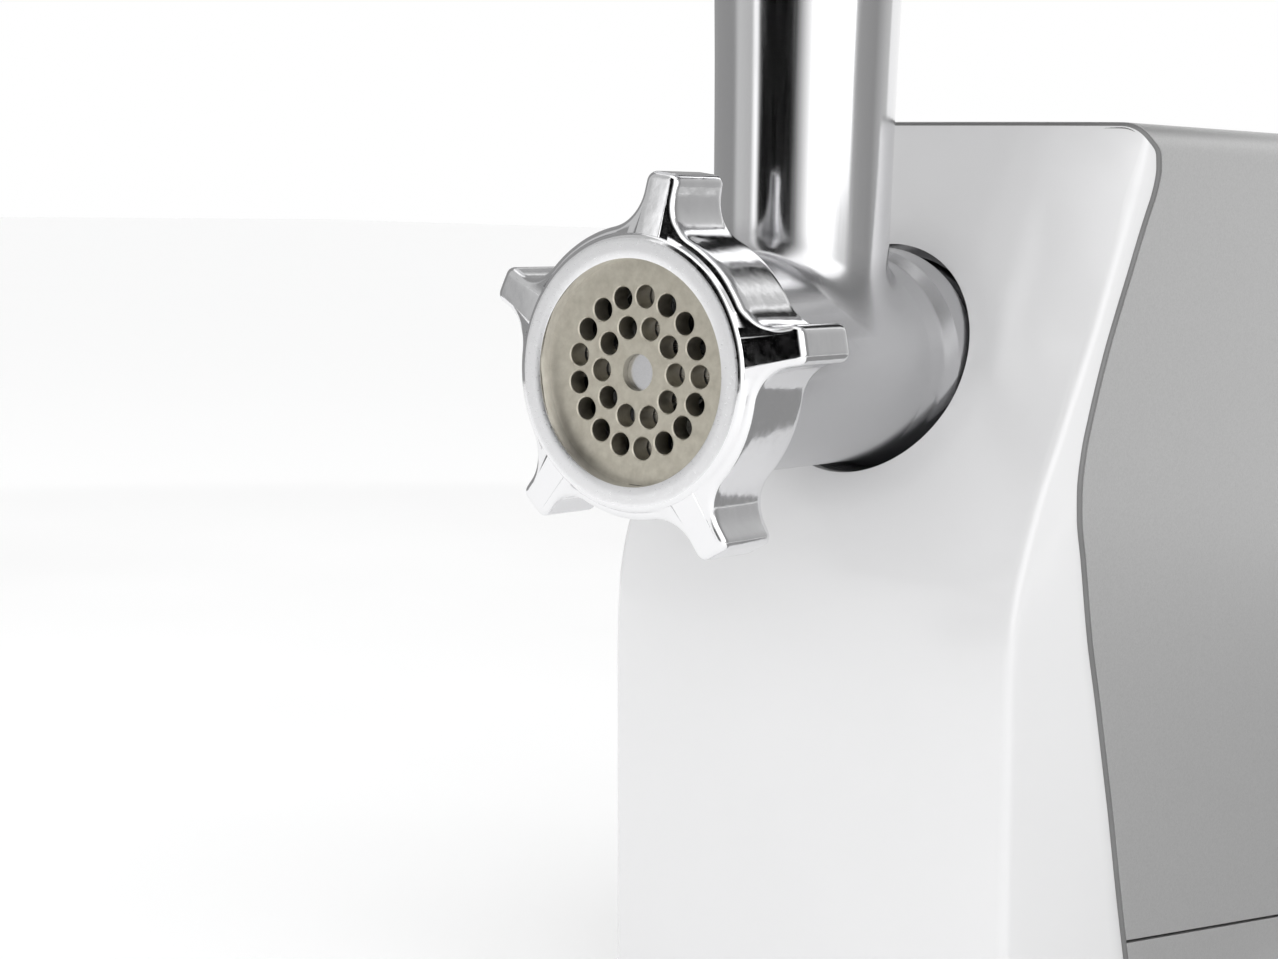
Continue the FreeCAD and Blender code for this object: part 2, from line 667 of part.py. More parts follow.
def make_lock():
    """Latch yoke round the underside of the socket, its push button in the left side, and its spring."""
    half = cut(ring(44.0, 39.2, 2.4, (0, 19.8, 0)), [box((100, 10, 50), (-50, 15, 2.5))])
    tooth = box((13, 2.4, 5), (27.3, 19.8, -2.5))
    arm = box((16.0, 2.4, 5), (-56.0, 19.8, -2.5))
    node("latch_yoke", fuse([half, tooth, arm]))
    cap = box((7, 7.4, 15), (-62, 17.9, -7.5))
    slot = box((2, 2.4, 5), (-57, 19.8, -2.5))
    node("release_button", cut(rounded(cap, AXES["X"], 2.0), [slot]))
    spring = ring(2.3, 1.6, 8.5, (49.6, 21.0, 0), "X")
    node("latch_spring", spring)


def make_switch():
    """Three-way rocker for forward, off and reverse, in a bezel in the left side of the wrap."""
    flange = box((1, 34, 25), (-62, 53, -62.5))
    sleeve = box((4.6, 30.6, 21.6), (-61, 54.7, -60.8))
    node("switch_bezel", cut(fuse([flange, sleeve]), [box((10, 27.4, 19.6), (-66, 56.3, -59.8))]))
    body = doc.addObject("PartDesign::Body", "Rocker")
    made = pad(body, "XZ_Plane", [
        (-63.5, -8), (-62.2, 0), (-63.5, 8), (-57.5, 8), (-56.5, 0), (-57.5, -8)], 26)
    body.Tip = made
    body.Placement = Placement(Vector(0, 83, -50), Rotation())
    node("rocker", body)
    node("switch_body", box((6.9, 30, 20), (-55.4, 55, -60)))


# ---------------------------------------------------------------- gearbox
def centres():
    """Centres of the output gear, wheel b, wheel a and the motor, as (x, z)."""
    out_b = dim("m_out") * (dim("teeth_out") + dim("teeth_pin")) / 2
    b_a = dim("m_mid") * (dim("teeth_b") + dim("teeth_pin")) / 2
    a_motor = dim("m_in") * (dim("teeth_a") + dim("teeth_pin")) / 2
    found = [(0.0, 0.0)]
    for reach, alias in ((out_b, "lie_b"), (b_a, "lie_a"), (a_motor, "lie_motor")):
        lie = math.radians(dim(alias))
        last = found[-1]
        found.append((last[0] + reach * math.sin(lie), last[1] - reach * math.cos(lie)))
    return found


OUT, WHEEL_B, WHEEL_A, MOTOR = centres()


def towards(start, end):
    return math.atan2(end[1] - start[1], end[0] - start[0])


def mesh_phase(teeth, start, end):
    """The phase that gives a gear a gap, not a tooth, towards its neighbour."""
    return towards(start, end) + math.pi / teeth


def make_gears():
    """The drive: motor pinion, wheels a and b with their pinions, and the output gear with its socket."""
    small = int(dim("teeth_pin"))
    hole = dim("pin_hole")
    out = gear(int(dim("teeth_out")), dim("m_out"), 14, 30, OUT, towards(OUT, WHEEL_B), 0)
    hub = Part.makeCylinder(12.5, 43.0, Vector(0, 27.6, 0), AXES["Y"])
    out = out.fuse(hub).cut(Part.makeCylinder(10.0, 18.0, Vector(0, 27.0, 0), AXES["Y"]))
    out = out.cut(Part.makeCylinder(5.06, 80.0, Vector(0, 27.0, 0), AXES["Y"]))
    node("output_gear", feature("OutputGear", out))

    pinion_b = gear(small, dim("m_out"), 16, 29.5, WHEEL_B, mesh_phase(small, WHEEL_B, OUT), hole)
    wheel_b = gear(int(dim("teeth_b")), dim("m_mid"), 10, 47, WHEEL_B, towards(WHEEL_B, WHEEL_A), hole)
    neck_b = Part.makeCylinder(9.0, 2.0, Vector(WHEEL_B[0], 45.2, WHEEL_B[1]), AXES["Y"])
    neck_b = neck_b.cut(Part.makeCylinder(hole, 4.0, Vector(WHEEL_B[0], 44.5, WHEEL_B[1]), AXES["Y"]))
    node("compound_gear_b", feature("CompoundB", pinion_b.fuse([wheel_b, neck_b])))

    pinion_a = gear(small, dim("m_mid"), 13.5, 46.5, WHEEL_A, mesh_phase(small, WHEEL_A, WHEEL_B), hole)
    wheel_a = gear(int(dim("teeth_a")), dim("m_in"), 8, 60, WHEEL_A, towards(WHEEL_A, MOTOR), hole)
    node("compound_gear_a", feature("CompoundA", pinion_a.fuse(wheel_a)))

    pinion = gear(small, dim("m_in"), 10, 59, MOTOR, mesh_phase(small, MOTOR, WHEEL_A), 3.0)
    node("motor_pinion", feature("MotorPinion", pinion))

    insert = cut(cylinder(9.95, 16.6, (0, 28.0, 0)), [hexagon_tool(7.25, 14.5, 27.0)])
    node("drive_insert", insert)


def hexagon_tool(reach, length, start):
    made = doc.addObject("Part::Prism", "HexagonTool")
    made.Polygon = 6
    made.Circumradius = reach
    made.Height = length
    return spot(made, (0, start, 0), "Y")


CASE_SCREWS = [(-42.0, 38.0), (46.0, 38.0), (-42.0, -127.0), (46.0, -127.0)]


def make_gearbox():
    """Case and lid round the gears, with bushes and the fixed pins that the wheels turn on."""
    outer = rounded(box((100, 48, 185), (-48, 24, -137)), AXES["Y"], 12.0)
    inner = rounded(box((95, 48, 180), (-45.5, 27, -134.5)), AXES["Y"], 9.5)
    legs = [box((12, 40, 32), (x, 28, "Dims.house_low + 3")) for x in (-46, 38)]
    mouth = cylinder(15.0, 10, (0, 20, 0))
    bosses = [cylinder(8.0, 2.0, (x, 27, z)) for x, z in (WHEEL_B, WHEEL_A)]
    pin_seats = [cylinder("Dims.pin_rim", 12, (x, 23, z)) for x, z in (WHEEL_B, WHEEL_A)]
    bosses += [cylinder(4.6, 12, (px, 60, pz)) for px, pz in CASE_SCREWS]
    pilots = [cylinder(2.06, 9, (px, 66, pz)) for px, pz in CASE_SCREWS]
    pilots += [cylinder(2.16, 9, (px, py, "Dims.house_low + 2.5"), "Z") for px, py in BASE_SCREWS]
    shell = cut(outer, [inner])
    node("gearbox_case", cut(fuse([shell] + bosses + legs), [mouth] + pin_seats + pilots))
    lid = rounded(box((100, 3, 185), (-48, 72, -137)), AXES["Y"], 12.0)
    spigot = cylinder(5.0, 9, (0, 63, 0))
    pin_ends = [cylinder("Dims.pin_rim", 8, (x, 70, z)) for x, z in (WHEEL_B, WHEEL_A)]
    shaft_way = cylinder(7.0, 10, (MOTOR[0], 70, MOTOR[1]))
    screw_ways = [cylinder(2.06, 5, (px, 71, pz)) for px, pz in CASE_SCREWS]
    node("gearbox_lid", cut(fuse([lid, spigot]), pin_ends + [shaft_way] + screw_ways))
    for name, (x, z), start in (("wheel_b_pin", WHEEL_B, 24), ("wheel_a_pin", WHEEL_A, 24)):
        node(name, cylinder("Dims.pin_rim", 51, (x, start, z)))
    node("output_bush", ring(15.0, 12.56, 5.5, (0, 24.0, 0)))
    screws = [cylinder(2.0, 9, (x, 66.5, z)) for x, z in CASE_SCREWS]
    heads = [cylinder(3.6, 2.4, (x, 75, z)) for x, z in CASE_SCREWS]
    node("gearbox_screws", gather([fuse([s, top]) for s, top in zip(screws, heads)]))


# ---------------------------------------------------------------- motor
def motor_cylinder(radius, start, end):
    return cylinder(radius, "%s - (%s)" % (end, start), (MOTOR[0], start, MOTOR[1]))


def motor_ring(outer, inner, start, end):
    return cut(motor_cylinder(outer, start, end), [motor_cylinder(inner, start, end)])


def make_motor():
    """Universal motor behind the gearbox: stator, coils, rotor, commutator, fan, brackets and bearings."""
    x, z = MOTOR
    core = box((72, "Dims.stack_far - Dims.stack_near", 62), (x - 36, "Dims.stack_near", z - 31))
    slots = [box((10, 40, 44), (x - 31, 92, z - 22)), box((10, 40, 44), (x + 21, 92, z - 22))]
    bore = motor_cylinder("Dims.stack_bore", "Dims.stack_near", "Dims.stack_far")
    node("stator_core", cut(rounded(core, AXES["Y"], 6.0), [bore] + slots))
    coils = []
    for start, end in ((92.5, 97.9), (126.1, 131.5)):
        for low in (z - 30, z + 19):
            coils.append(box((56, end - start, 11), (x - 28, start, low)))
    node("field_coils", gather([rounded(coil, AXES["Y"], 4.0) for coil in coils]))
    node("rotor_core", motor_ring("Dims.rotor_rim", "Dims.shaft", "Dims.stack_near", "Dims.stack_far"))
    windings = [motor_ring(17.0, "Dims.shaft", start, end) for start, end in ((93.0, 98.0), (126.0, 131.0))]
    node("rotor_windings", gather(windings))
    steps = [motor_cylinder(3.0, 58.5, 72), motor_cylinder("Dims.shaft", 72, 150.4)]
    node("rotor_shaft", fuse(steps))
    node("commutator", motor_ring(11.0, "Dims.shaft", 132.5, 142.5))
    fan_disc = motor_ring(28.0, "Dims.shaft", 85.0, 86.6)
    blades = []
    for i in range(9):
        blade = box((17, 5.4, 1.6), (0, 0, 0))
        blade.Placement = Placement(Vector(x, 86.4, z), Rotation(AXES["Y"], 40 * i)).multiply(
            Placement(Vector(10, 0, 0), Rotation()))
        for letter in "xyz":
            blade.setExpression("Placement.Base." + letter, None)
        blades.append(blade)
    hub = motor_ring(7.5, "Dims.shaft", 85.0, 91.5)
    node("motor_fan", fuse([fan_disc, hub] + blades))
    for name, start, end, inner in (("front_bracket", 76, 79.5, 11.0), ("rear_bracket", 144.5, 148, 8.0)):
        foot = box((60, end - start, 45.5), (x - 30, start, "Dims.house_low + 3"))
        plate = fuse([motor_cylinder(35.0, start, end), foot])
        holes = [motor_cylinder(inner, start, end)]
        for k in range(6):
            angle = math.radians(60 * k + 30)
            at = (x + 24 * math.cos(angle), start, z + 24 * math.sin(angle))
            holes.append(cylinder(6.0, end - start, at))
        node(name, cut(plate, holes))
    node("front_bearing", motor_ring(11.0, "Dims.shaft_hole", 75.5, 82.5))
    node("rear_bearing", motor_ring(8.0, "Dims.shaft_hole", 144.5, 150.0))
    node("brushes", gather([box((10, 7, 6), (x + 11.4, 134, z - 3)), box((10, 7, 6), (x - 21.4, 134, z - 3))]))
    holders = []
    for left in (x + 14.0, x - 34.0):
        tube = cut(box((20, 10, 9), (left, 132.5, z - 4.5)), [box((20, 7, 6), (left, 134, z - 3))])
        holders.append(tube)
    node("brush_holders", gather(holders))
    pads = []
    for start in (100, 114):
        for left in (x - 30, x + 18):
            pads.append(box((12, 10, "%s - 31 - (Dims.house_low + 3)" % z), (left, start, "Dims.house_low + 3")))
    node("motor_mounts", gather(pads))


def make_electronics():
    """Control board on the gearbox lid with its standoffs, and the suppression capacitor on the board."""
    board = box((72, 1.6, 60), (-30, 81, -42))
    posts = [cylinder(3.0, 6.0, (x, 75, z)) for x, z in ((-25, -37), (37, -37), (-25, 13), (37, 13))]
    node("circuit_board", fuse([board] + posts))
    node("capacitor", rounded(box((26, 12, 15), (-20, 82.6, -10)), AXES["X"], 2.0))
    node("relay", box((16, 14, 20), (16, 82.6, -16)))
    bush = cut(fuse([cylinder(6.0, 7, (-38, 148.1, -150)), cylinder(8.5, 2.6, (-38, 148.1, -150))]),
               [cylinder(3.7, 9, (-38, 147.5, -150))])
    node("cord_inlet", bush)


make_head_casting()
make_key_pin()
make_auger()
make_auger_washer()
make_knife()
make_hole_plate()
make_ring_nut()
make_tray()
make_pusher()
make_pusher_cap()
HOLLOW = make_housing()
make_feet()
make_socket(HOLLOW)
make_lock()
make_switch()
make_gears()
make_gearbox()
make_motor()
make_electronics()

doc.recompute()
bad = [thing.Name for thing in doc.Objects if {"Invalid", "Error"} & set(thing.State)]
if bad:
    raise SystemExit("failed objects: %s" % bad)
os.makedirs("parts", exist_ok=True)
for thing in NODES:
    if thing.Shape.isNull() or not thing.Shape.isValid():
        raise SystemExit("bad shape: %s" % thing.Label)
    if thing.Shape.Volume < 1.0:
        raise SystemExit("empty shape: %s" % thing.Label)
for thing in NODES:
    thing.Shape.exportStep("parts/%s.step" % thing.Label)
print(len(NODES), "nodes")
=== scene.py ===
import json
from math import acos, atan2, cos, degrees, hypot, pi, radians, sin, sqrt, tan

import bmesh
import bpy
import numpy as np
from mathutils import Matrix, Vector


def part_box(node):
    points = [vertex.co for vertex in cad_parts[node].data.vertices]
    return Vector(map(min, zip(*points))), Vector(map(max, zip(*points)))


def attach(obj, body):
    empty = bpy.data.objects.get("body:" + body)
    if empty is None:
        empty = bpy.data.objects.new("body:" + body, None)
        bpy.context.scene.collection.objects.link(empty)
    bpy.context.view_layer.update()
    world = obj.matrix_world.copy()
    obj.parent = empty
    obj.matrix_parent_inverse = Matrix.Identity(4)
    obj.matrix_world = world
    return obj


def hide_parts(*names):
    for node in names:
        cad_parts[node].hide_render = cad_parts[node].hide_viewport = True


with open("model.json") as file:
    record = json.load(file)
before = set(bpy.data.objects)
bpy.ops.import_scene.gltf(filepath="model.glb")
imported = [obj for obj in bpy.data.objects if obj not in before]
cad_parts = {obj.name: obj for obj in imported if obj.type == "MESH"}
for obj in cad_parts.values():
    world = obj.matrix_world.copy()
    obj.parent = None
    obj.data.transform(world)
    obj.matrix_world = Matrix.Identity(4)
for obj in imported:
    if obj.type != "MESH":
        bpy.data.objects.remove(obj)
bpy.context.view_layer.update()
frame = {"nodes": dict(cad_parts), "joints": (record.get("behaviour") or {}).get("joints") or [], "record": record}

RECORD = frame["record"]

# Shapes are worked out in millimetres about the head axis: X right seen from the front, Y back, Z up,
# with the origin where the axis meets the front cover. mm() moves them to the frame.
AXIS = np.array(next(j["pos_m"] for j in frame["joints"] if j["name"] == "auger_spin"))
TUBE_Y = -29.8
BARREL_R = 24.6
HALF_WIDTH = 61.0
HOUSE_TOP = 57.5
HOUSE_LOW = -170.0
WRAP_BACK = 152.4
TOP_ROUND = 7.5
COVER_IN = 0.95
TRIM_WIDE = 1.2
OPENING_R = 27.3
SKIN = 2.5
HEAD_TOP = 118.0
THREAD_R = 29.0
BORE_R = 21.6
PLATE_R = 26.9
HOLE_R = 2.5
PLATE_RINGS = ((10.0, 10), (16.5, 17))
SEAM_GAP = 0.8
CAMERA_PLACE = (341.4, -536.7, 38.4)
MERGE = 1e-6


def mm(points):
    """Millimetres about the head axis, in the frame's metres."""
    return AXIS + np.asarray(points, float) * 0.001


# ---- mesh tools
def link(name, data):
    piece = bpy.data.objects.new(name, data)
    bpy.context.scene.collection.objects.link(piece)
    return piece


def build(name, points, faces):
    """A mesh object from points in millimetres about the head axis."""
    mesh = bpy.data.meshes.new(name)
    mesh.from_pydata([tuple(p) for p in mm(points)], [], [tuple(f) for f in faces])
    work = bmesh.new()
    work.from_mesh(mesh)
    bmesh.ops.remove_doubles(work, verts=work.verts, dist=MERGE)
    bmesh.ops.dissolve_degenerate(work, dist=1e-7, edges=work.edges)
    bmesh.ops.recalc_face_normals(work, faces=work.faces)
    work.to_mesh(mesh)
    work.free()
    return link(name, mesh)


def grid_faces(rows, columns, wrap_rows=False, wrap_columns=False):
    """Four-cornered faces over a grid of points numbered row by row."""
    faces = []
    for i in range(rows if wrap_rows else rows - 1):
        for j in range(columns if wrap_columns else columns - 1):
            a, b = i * columns + j, i * columns + (j + 1) % columns
            below = ((i + 1) % rows) * columns
            faces.append((a, b, below + (j + 1) % columns, below + j))
    return faces


def grid(name, points, wrap_rows=False, wrap_columns=False):
    """A surface from rows of points, closed across its rows or its columns where asked."""
    points = np.asarray(points, float)
    rows, columns = points.shape[:2]
    return build(name, points.reshape(-1, 3), grid_faces(rows, columns, wrap_rows, wrap_columns))


def soft_path(corners, closed=False, step=9.0):
    """A polyline whose corners (a, b, radius) are rounded, an arc point every few degrees."""
    count = len(corners)
    path = []
    for i, corner in enumerate(corners):
        here = np.array(corner[:2], float)
        radius = corner[2] if len(corner) > 2 else 0.0
        if radius <= 0 or (not closed and i in (0, count - 1)):
            path.append(here)
            continue
        back = np.array(corners[i - 1][:2], float) - here
        ahead = np.array(corners[(i + 1) % count][:2], float) - here
        length = (np.linalg.norm(back), np.linalg.norm(ahead))
        back, ahead = back / length[0], ahead / length[1]
        between = acos(max(-1.0, min(1.0, float(back @ ahead))))
        turn = pi - between
        if turn < 1e-3:
            path.append(here)
            continue
        reach = min(radius * tan(turn / 2), 0.49 * min(length))
        radius = reach / tan(turn / 2)
        centre = here + (back + ahead) / np.linalg.norm(back + ahead) * (radius / sin(between / 2))
        start, end = here + back * reach - centre, here + ahead * reach - centre
        steps = max(2, int(degrees(turn) / step) + 1)
        sweep = atan2(start[0] * end[1] - start[1] * end[0], float(start @ end))
        for k in range(steps + 1):
            angle = sweep * k / steps
            c, s = cos(angle), sin(angle)
            path.append(centre + np.array([start[0] * c - start[1] * s, start[0] * s + start[1] * c]))
    return np.array(path)


def around(steps):
    return np.linspace(0, 2 * pi, steps, endpoint=False)


def lathe(name, corners, axis="Y", centre=(0, 0), steps=180):
    """A solid of revolution about a line along Y or Z.

    corners are (radius, place, rounding) and run round the section, which may start and end on that line."""
    closed = corners[0][0] > 0
    path = soft_path(corners, closed)
    turn = around(steps)
    radius, place = path[:, 0][:, None], path[:, 1][:, None] + 0 * turn[None, :]
    across, up = radius * np.cos(turn), radius * np.sin(turn)
    if axis == "Y":
        points = np.stack([across + centre[0], place, up + centre[1]], -1)
    else:
        points = np.stack([across + centre[0], up + centre[1], place], -1)
    return grid(name, points, wrap_rows=closed, wrap_columns=True)


def settle(piece):
    """Applies every modifier of a piece."""
    bpy.context.view_layer.update()
    seen = piece.evaluated_get(bpy.context.evaluated_depsgraph_get())
    mesh = bpy.data.meshes.new_from_object(seen)
    old = piece.data
    piece.modifiers.clear()
    piece.data = mesh
    bpy.data.meshes.remove(old)
    return piece


def carve(piece, tools, operation="DIFFERENCE"):
    """Cuts tools out of a piece, or joins them to it, and uses them up."""
    for tool in tools:
        made = piece.modifiers.new("Carve", "BOOLEAN")
        made.operation, made.solver, made.object = operation, "EXACT", tool
    settle(piece)
    for tool in tools:
        bpy.data.objects.remove(tool)
    return piece


def thicken(piece, depth):
    """Gives a sheet its depth, inwards from its normals."""
    made = piece.modifiers.new("Thick", "SOLIDIFY")
    made.thickness, made.offset, made.use_even_offset = depth * 0.001, -1.0, True
    return settle(piece)


def soften(piece, width, angle=50.0, segments=4):
    """Rounds the edges that turn more than an angle."""
    made = piece.modifiers.new("Soft", "BEVEL")
    made.width, made.segments, made.use_clamp_overlap = width * 0.001, segments, True
    made.limit_method, made.angle_limit = "ANGLE", radians(angle)
    return settle(piece)


def block(name, low, high, rounding=0.0):
    """A box between two corners with rounded edges."""
    points = [(x, y, z) for x in (low[0], high[0]) for y in (low[1], high[1]) for z in (low[2], high[2])]
    faces = [(0, 1, 3, 2), (4, 6, 7, 5), (0, 4, 5, 1), (2, 3, 7, 6), (0, 2, 6, 4), (1, 5, 7, 3)]
    piece = build(name, points, faces)
    if rounding:
        soften(piece, rounding, 30.0, 3)
    return piece


def unite(name, pieces):
    """Joins several pieces into one mesh object."""
    work = bmesh.new()
    for piece in pieces:
        work.from_mesh(piece.data)
        bpy.data.objects.remove(piece)
    mesh = bpy.data.meshes.new(name)
    work.to_mesh(mesh)
    work.free()
    return link(name, mesh)


def close_ends(loops):
    """Loops with the middle of the first and of the last added as points, which closes both ends."""
    first, last = loops[0], loops[-1]
    return [np.tile(np.mean(first, 0), (len(first), 1)), *loops, np.tile(np.mean(last, 0), (len(last), 1))]


def stack(name, outline, rows, place, ends=True):
    """A closed solid from rows of (inset, level), each outline(inset) placed by place(loop, level).

    Without ends it is a frame, whose last loop joins its first."""
    loops = [place(outline(inset), level) for inset, level in rows]
    return grid(name, np.array(close_ends(loops) if ends else loops), wrap_rows=not ends, wrap_columns=True)


def box_outline(low, high, radius, step=6.0):
    """A rounded rectangle as a function of inset."""
    def at(inset):
        soft = max(radius - inset, 0.05)
        x0, y0, x1, y1 = low[0] + inset, low[1] + inset, high[0] - inset, high[1] - inset
        return soft_path([(x0, y0, soft), (x1, y0, soft), (x1, y1, soft), (x0, y1, soft)], True, step)
    return at


def lying(loop, level):
    """A flat loop at a height. facing() stands it across Y, and sideways() across X."""
    return np.column_stack([loop, np.full(len(loop), level)])


def facing(loop, level):
    return np.column_stack([loop[:, 0], np.full(len(loop), level), loop[:, 1]])


def sideways(loop, level):
    return np.column_stack([np.full(len(loop), level), loop])


def soft_edge(start, end, radius, steps=4):
    """Rows of (inset, level) for a solid from start to end with both rims rounded."""
    sign = 1 if end > start else -1
    rows = []
    for k in range(steps + 1):
        a = pi / 2 * k / steps
        rows.append((radius * (1 - sin(a)), start + sign * radius * (1 - cos(a))))
    return rows + [(inset, end - (level - start)) for inset, level in rows[::-1]]


def node_box(node):
    """A CAD node's box in millimetres about the head axis."""
    low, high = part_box(node)
    return (np.array(low) - AXIS) * 1000, (np.array(high) - AXIS) * 1000


BODY_OF = {node: body for body, nodes in RECORD["behaviour"]["bodies"].items() for node in nodes}
SLOT_OF = {entry["node"]: entry["material_slot"] for entry in RECORD["subparts"]}


def dress(piece, node, *materials):
    """Finishes a piece that stands for a CAD node: shading, materials, body and slot."""
    piece.data.shade_smooth()
    piece.data.set_sharp_from_angle(angle=radians(38.0))
    piece.data.materials.clear()
    for name in materials or (SLOT_OF[node],):
        piece.data.materials.append(MATERIALS[name])
    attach(piece, BODY_OF[node])
    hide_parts(node)


def smooth_line(places, values):
    """A curve through points that never overshoots, as a function of place."""
    order = np.argsort(places)
    x, y = np.array(places, float)[order], np.array(values, float)[order]
    step, rise = np.diff(x), np.diff(y) / np.diff(x)
    slope = np.zeros_like(x)
    slope[0], slope[-1] = rise[0], rise[-1]
    for i in range(1, len(x) - 1):
        if rise[i - 1] * rise[i] > 0:
            w1, w2 = 2 * step[i] + step[i - 1], step[i] + 2 * step[i - 1]
            slope[i] = (w1 + w2) / (w1 / rise[i - 1] + w2 / rise[i])

    def at(place):
        place = np.clip(place, x[0], x[-1])
        k = np.clip(np.searchsorted(x, place) - 1, 0, len(x) - 2)
        s = (place - x[k]) / step[k]
        a, b = (1 + 2 * s) * (1 - s) ** 2, s * (1 - s) ** 2
        c, d = s * s * (3 - 2 * s), s * s * (s - 1)
        return a * y[k] + b * step[k] * slope[k] + c * y[k + 1] + d * step[k] * slope[k + 1]
    return at


# ---- materials
class Look:
    """A Principled material with short names for adding nodes; extra sockets use underscores."""

    def __init__(self, name, color, roughness, metallic=0.0, **sockets):
        self.material = bpy.data.materials.new(name)
        self.material.use_nodes = True
        self.tree = self.material.node_tree
        self.shader = self.tree.nodes["Principled BSDF"]
        self.shader.inputs["Base Color"].default_value = (*color, 1.0)
        self.shader.inputs["Roughness"].default_value = roughness
        self.shader.inputs["Metallic"].default_value = metallic
        for key, value in sockets.items():
            self.shader.inputs[key.replace("_", " ")].default_value = value
        self.place = self.add("ShaderNodeTexCoord", {}).outputs["Object"]

    def add(self, kind, sockets, **props):
        """A node with its properties, then its sockets: outputs are linked and values are set."""
        node = self.tree.nodes.new(kind)
        for key, value in props.items():
            setattr(node, key, value)
        for key, value in sockets.items():
            if isinstance(value, bpy.types.NodeSocket):
                self.tree.links.new(value, node.inputs[key])
            else:
                node.inputs[key].default_value = value
        return node

    def noise(self, scale, detail=3.0, stretch=(1, 1, 1)):
        moved = self.add("ShaderNodeMapping", {"Scale": stretch, "Vector": self.place})
        sockets = {"Scale": scale, "Detail": detail, "Roughness": 0.55, "Vector": moved.outputs[0]}
        return self.add("ShaderNodeTexNoise", sockets).outputs["Fac"]

    def band(self, value, start=0.0, end=1.0, low=0.3, high=0.7):
        """The value's stretch from low to high, spread over start to end."""
        sockets = {"Value": value, "From Min": low, "From Max": high, "To Min": start, "To Max": end}
        return self.add("ShaderNodeMapRange", sockets).outputs["Result"]

    def tint(self, value, first, second):
        made = self.add("ShaderNodeMix", {"A": (*first, 1.0), "B": (*second, 1.0), "Factor": value},
                        data_type="RGBA")
        self.tree.links.new(made.outputs["Result"], self.shader.inputs["Base Color"])

    def rough(self, value, start, end, low=0.3, high=0.7):
        self.tree.links.new(self.band(value, start, end, low, high), self.shader.inputs["Roughness"])

    def bump(self, value, height):
        """Adds relief of a height in millimetres, over any there already."""
        made = self.add("ShaderNodeBump", {"Distance": height * 0.001, "Height": value})
        normal = self.shader.inputs["Normal"]
        if normal.is_linked:
            self.tree.links.new(normal.links[0].from_socket, made.inputs["Normal"])
        self.tree.links.new(made.outputs["Normal"], normal)


def cast_aluminium():
    """The head: a satin casting whose feed tube is belt polished along its length.

    The mesh attribute "polish" runs from 0 on the barrel to 1 on the tube."""
    look = Look("cast_aluminium", (0.56, 0.56, 0.57), 0.22, 1.0)
    polish = look.add("ShaderNodeAttribute", {}, attribute_name="polish").outputs["Fac"]
    look.tint(polish, (0.56, 0.56, 0.57), (0.82, 0.82, 0.83))
    grain = look.noise(900.0, 3.0)
    lines = look.noise(1400.0, 2.0, (1, 1, 0.02))
    cast, buffed = look.band(grain, 0.20, 0.24), look.band(lines, 0.10, 0.16)
    blend = look.add("ShaderNodeMix", {"Factor": polish, "A": cast, "B": buffed})
    look.tree.links.new(blend.outputs["Result"], look.shader.inputs["Roughness"])
    look.bump(grain, 0.0008)
    look.bump(lines, 0.0015)
    return look.material


def polished_cast():
    """The ring nut's buffed sides: nearly mirror, with the casting's soft ripple left in it."""
    look = Look("polished_cast", (0.82, 0.82, 0.83), 0.12, 1.0)
    ripple = look.noise(130.0, 2.0)
    look.rough(look.noise(700.0, 3.0), 0.08, 0.17)
    look.bump(ripple, 0.10)
    look.bump(look.noise(1600.0, 2.0), 0.004)
    return look.material


def blasted_face():
    """The ring nut's front, left as cast: bright and finely pebbled."""
    look = Look("blasted_face", (0.84, 0.84, 0.85), 0.33, 1.0)
    pebble = look.noise(1900.0, 3.0)
    look.rough(pebble, 0.26, 0.42)
    look.bump(pebble, 0.022)
    return look.material


def plate_steel():
    """Hole plate: flat ground steel with a warm cast and a faint mottle."""
    look = Look("plate_steel", (0.52, 0.49, 0.42), 0.42, 1.0)
    mottle = look.noise(420.0, 4.0)
    look.tint(look.band(mottle), (0.47, 0.44, 0.37), (0.58, 0.55, 0.47))
    look.rough(look.noise(1500.0, 2.0), 0.36, 0.52)
    look.bump(look.noise(2600.0, 2.0), 0.006)
    return look.material


def ground_steel(name, color, low, high):
    """Turned or ground metal with fine lines across it."""
    look = Look(name, color, (low + high) / 2, 1.0)
    grain = look.noise(1100.0, 2.0, (0.04, 1, 1))
    look.rough(grain, low, high)
    look.bump(grain, 0.004)
    return look.material


def tray_steel():
    """Pressed stainless sheet with long brushed lines."""
    look = Look("tray_steel", (0.72, 0.72, 0.73), 0.28, 1.0)
    lines = look.noise(420.0, 2.0, (0.02, 1, 1))
    look.rough(lines, 0.24, 0.34)
    look.bump(lines, 0.002)
    return look.material


def white_plastic():
    """Glossy moulded housing, with the slightest orange peel."""
    look = Look("white_plastic", (0.71, 0.71, 0.715), 0.20, Coat_Weight=0.25, Coat_Roughness=0.06)
    look.rough(look.noise(90.0, 2.0), 0.18, 0.25)
    look.tint(look.band(look.noise(12.0, 2.0)), (0.70, 0.70, 0.705), (0.72, 0.72, 0.725))
    look.bump(look.noise(650.0, 2.0), 0.0025)
    return look.material


def silver_paint():
    """Metallic lacquer: fine flake under a satin coat."""
    look = Look("silver_paint", (0.50, 0.50, 0.50), 0.36, 0.55, Coat_Weight=0.30, Coat_Roughness=0.20)
    flake = look.add("ShaderNodeTexVoronoi", {"Scale": 2600.0, "Vector": look.place}, feature="F1")
    tone = look.add("ShaderNodeSeparateColor", {0: flake.outputs["Color"]})
    look.tint(tone.outputs[0], (0.475, 0.475, 0.475), (0.525, 0.525, 0.525))
    look.rough(tone.outputs[1], 0.33, 0.41, 0.0, 1.0)
    look.bump(look.noise(2200.0, 1.0), 0.002)
    return look.material


